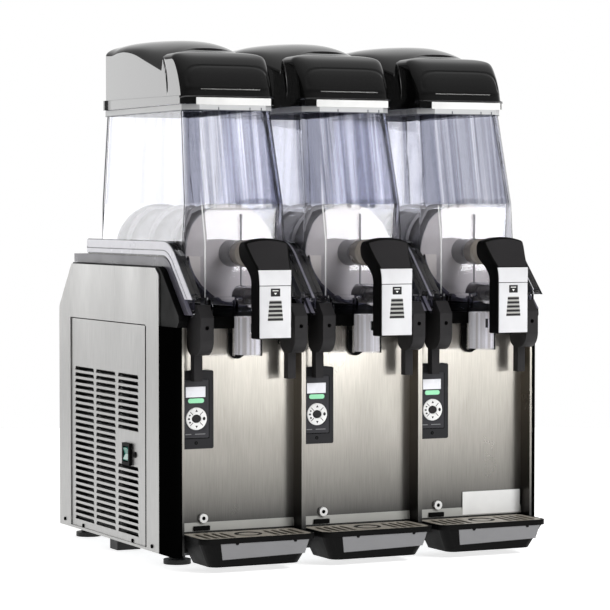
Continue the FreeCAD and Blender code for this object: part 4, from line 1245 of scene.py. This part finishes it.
def make_keys(bay):
    """Soft-edged key ring and centre key that ride on their own buttons."""
    ring_x = BAY_X[bay] + CONTROL_EDGE + RING_ACROSS
    edge = ellipse(ring_x, RING_HEIGHT, RING_RADIUS, segments=64)
    hole = ellipse(ring_x, RING_HEIGHT, KEY_HALF[0] + RING_GAP, KEY_HALF[1] + RING_GAP, 48)
    mesh = cut_plate("ring", [edge, hole], "y", *RING_LAYER, bevel=0.5)
    body = "nav_ring_" + bay
    add_piece("key_ring_" + bay, mesh, "white_plastic", body, replaces=[body])
    add_form("key_marks_" + bay, ring_marks(ring_x), "charcoal", body, "black_plastic")
    form = bmesh.new()
    add_prism(form, ellipse(ring_x, RING_HEIGHT, *KEY_HALF, 48), "y", *KEY_LAYER, bevel=0.6)
    body = "menu_button_" + bay
    add_form("centre_key_" + bay, form, "charcoal", body, "black_plastic", [body])


# --- drip trays and front panels ---
TRAY_FRONT_LOW = (-235.0, 10.0)
TRAY_FRONT_HIGH = (-246.0, 46.0)
LABEL_CORNERS = [(-62.5, 45.8), (81.5, 45.8), (77.5, 24.6), (-56.5, 21.4)]
TAB = [(-2.8, 50.5), (2.8, 50.5), (2.8, 45.5), (1.6, 43.4), (-1.6, 43.4), (-2.8, 45.5)]
TAB_PLACES = (-36.0, 59.0)
TAB_LEVEL = 45
LABEL_PROUD = (0.9, -0.3)
TAB_PROUD = (1.5, -0.5)
DRAIN_Y = -206
# Radius and height above the grille of the drain and of the stud in its middle.
DRAIN = [(21.0, -0.6), (21.0, 0.4), (19.5, 0.7), (13.5, -1.2), (4.0, -1.8)]
DRAIN_STUD = [(3.6, -1.9), (3.6, -1.0), (2.2, -0.4), (0.4, -0.2)]
GRILLE_TOP = 53.8
PANEL_FACE = -162.0
BUSH_PLACE = (-55.0, 75.2)
BUSH_HOLE = 2.85
# Layer of the black disc that paints the shade in the bush's hole.
HOLE_SHADE_LAYER = (PANEL_FACE - 4.8, PANEL_FACE - 1.0)
FOLD_PROFILE = [(-162.0, 69.0), (-163.4, 63.5), (-163.4, 56.0), (-162.0, 56.0)]
FOLD_HALF = 96.3
BLANK_LABEL = (190.0, 294.0, 57.5, 93.5, 0.6)
BLANK_LAYER = (-163.8, -163.4)


def tray_front(height):
    """Depth of the tray's sloping front at a height."""
    low_y, low_z = TRAY_FRONT_LOW
    high_y, high_z = TRAY_FRONT_HIGH
    return low_y + (high_y - low_y) * (height - low_z) / (high_z - low_z)


def make_tray(bay):
    """Grey label with two dark tabs on the tray, and the black drain in the grille."""
    x = BAY_X[bay]
    body = "drip_tray_" + bay
    label, tabs = bmesh.new(), bmesh.new()
    add_loft(label, [[(x + a, tray_front(z) - proud, z) for a, z in LABEL_CORNERS] for proud in LABEL_PROUD])
    add_form("tray_label_" + bay, label, "label_grey", body, "plate_silver")
    for across in TAB_PLACES:
        front = tray_front(TAB_LEVEL)
        add_loft(tabs, [[(x + across + a, front - proud, z) for a, z in TAB] for proud in TAB_PROUD])
    add_form("tray_tabs_" + bay, tabs, "black_plastic", body)
    turned = (("drain_", DRAIN, "black_plastic", 40), ("drain_stud_", DRAIN_STUD, "screw_steel", 20))
    for name, profile, material, segments in turned:
        form = bmesh.new()
        profile = [(radius, GRILLE_TOP + rise) for radius, rise in profile]
        add_lathe(form, profile, (x, DRAIN_Y), "z", segments)
        add_form(name + bay, form, material, "tray_grille_" + bay)


def make_panel_foot(bay):
    """Fold along the bottom of a front panel, light grey as a painted reflection, and a black disc in the
    bush's hole above it as painted shade.
    """
    x = BAY_X[bay]
    fold, hole_shade = bmesh.new(), bmesh.new()
    # Painted reflection: the fold is light grey to show a bright streak on the steel.
    add_loft(fold, [[(x + a, y, z) for y, z in FOLD_PROFILE] for a in (-FOLD_HALF, FOLD_HALF)])
    add_form("panel_fold_highlight_" + bay, fold, "pale_label_and_highlight", "root", "stainless")
    # Painted shade: a black disc inside the bush's hole.
    centre = (x + BUSH_PLACE[0], BUSH_PLACE[1])
    add_prism(hole_shade, ellipse(*centre, BUSH_HOLE, segments=20), "y", *HOLE_SHADE_LAYER)
    add_form("bush_hole_shade_" + bay, hole_shade, "trim_black", "root", "black_plastic")


def make_blank_label():
    """Plain pale label low on the right-hand front panel."""
    mesh = cut_plate("blank_label", [rectangle(*BLANK_LABEL)], "y", *BLANK_LAYER)
    add_piece("blank_label", mesh, "white_plastic", "root")


# --- louvres ---
LOUVRE_EDGE = (-69.6, 248.6, 24.0, 361.2)
LOUVRE_X = (306.0, 308.0)
# Place of the black strip that paints the shade in the panel's front gap.
GAP_X = (309.6, 310.3)
GAP_Y = (-73.8, -70.9)
LOUVRE_COLUMNS = (3.8, 98.4, 191.4)
LOUVRE_ROWS = 25
LOUVRE_FIRST = 35.3
LOUVRE_PITCH = 10.1
SLOT_TALL = 6.0
SLOT_FOOT = 42.5
SLOT_HEAD = 39.5
# Depth inside the panel and height of the lip behind a slot.
LIP = ((0.6, SLOT_TALL + 0.6), (0.6, SLOT_TALL - 0.2), (-5.0, 0.6), (-5.6, 1.2))
SWITCH_ROWS = range(11, 16)
SWITCH_HOLE = (-9.0, 15.0, 146.0, 174.0)
SCREW_SPOTS = ((-14.0, 27.2), (197.6, 27.2))
SCREW_HOLE = 2.9


def louvre_slots(with_switch):
    """Middle (y, z of the foot) of every slot in one panel."""
    slots = []
    for column in LOUVRE_COLUMNS:
        for row in range(LOUVRE_ROWS):
            if with_switch and column == LOUVRE_COLUMNS[0] and row in SWITCH_ROWS:
                continue
            slots.append((column, LOUVRE_FIRST + row * LOUVRE_PITCH))
    return slots


def make_louvre_panel(side, sign):
    """Pressed panel: slots with rounded upper corners and a lip behind each one; the near-black lips and the
    black strip in its front gap are painted shade.
    """
    with_switch = sign < 0
    outlines = [rectangle(*LOUVRE_EDGE)]
    lips, gap = bmesh.new(), bmesh.new()
    for y, z in louvre_slots(with_switch):
        slot = [(y - SLOT_FOOT, z, 0.3), (y + SLOT_FOOT, z, 0.3)]
        slot += [(y + SLOT_HEAD, z + SLOT_TALL, 2.4), (y - SLOT_HEAD, z + SLOT_TALL, 2.4)]
        outlines.append(rounded(slot, 3))
        ends = (y - SLOT_HEAD, y + SLOT_HEAD)
        add_loft(lips, [[(sign * (LOUVRE_X[0] + a), end, z + b) for a, b in LIP] for end in ends])
    if with_switch:
        outlines.append(rectangle(*SWITCH_HOLE))
    outlines += [ellipse(y, z, SCREW_HOLE, segments=16) for y, z in SCREW_SPOTS]
    node = "louvre_panel_" + side
    mesh = cut_plate(node, outlines, "x", *sorted(sign * x for x in LOUVRE_X))
    add_piece("pressed_panel_" + side, mesh, "stainless", "root", replaces=[node])
    # Painted shade: a black strip fills the gap at the panel's front edge.
    low, high = sorted(sign * x for x in GAP_X)
    add_block(gap, (low, GAP_Y[0], LOUVRE_EDGE[2]), (high, GAP_Y[1], LOUVRE_EDGE[3]))
    add_form("panel_gap_shade_" + side, gap, "trim_black", "root", "black_plastic")
    # Painted shade: the lips are stainless steel coloured near-black with dark_steel.
    add_form("panel_lips_" + side, lips, "dark_steel", "root", "stainless")


# --- soft edges on CAD nodes ---
EDGE_WIDTHS = {
    "corner_trim": 1.2,
    "drip_tray": 1.0,
    "latch_left": 1.4,
    "latch_right": 1.4,
    "control": 1.0,
    "bowl_seats": 1.6,
    "top_deck": 1.4,
    "crossbars": 0.8,
    "switch_housing": 0.7,
    "tray_hooks": 0.5,
    "power_rocker": 0.6,
}
EDGE_ANGLE = 35
WELD_GAP = 0.00001


def soften_cad_nodes():
    """Small round edges on the moulded parts."""
    for name, node in frame["nodes"].items():
        for start, width in EDGE_WIDTHS.items():
            if name.startswith(start):
                weld = node.modifiers.new("weld", "WELD")
                weld.merge_threshold = WELD_GAP
                bevel = node.modifiers.new("bevel", "BEVEL")
                bevel.width = width * MM
                bevel.segments = 2
                bevel.limit_method = "ANGLE"
                bevel.angle_limit = math.radians(EDGE_ANGLE)
                bevel.harden_normals = True


make_camera()
make_lights()
make_world()
make_floor()
bpy.context.scene.view_settings.view_transform = "Standard"
dress_cad_nodes()
for bay in BAY_NAMES:
    make_lid(bay)
for bay in BAY_NAMES:
    make_bowl_edge_shade(bay)
    make_bowl_front(bay)
    make_flange_highlights(bay)
    make_rim(bay)
    make_drum_front(bay)
for bay in BAY_NAMES:
    make_tap(bay)
for bay in BAY_NAMES:
    make_control_panel(bay)
    make_keys(bay)
for bay in BAY_NAMES:
    make_tray(bay)
    make_panel_foot(bay)
make_blank_label()
make_louvre_panel("left", -1)
make_louvre_panel("right", 1)
soften_cad_nodes()
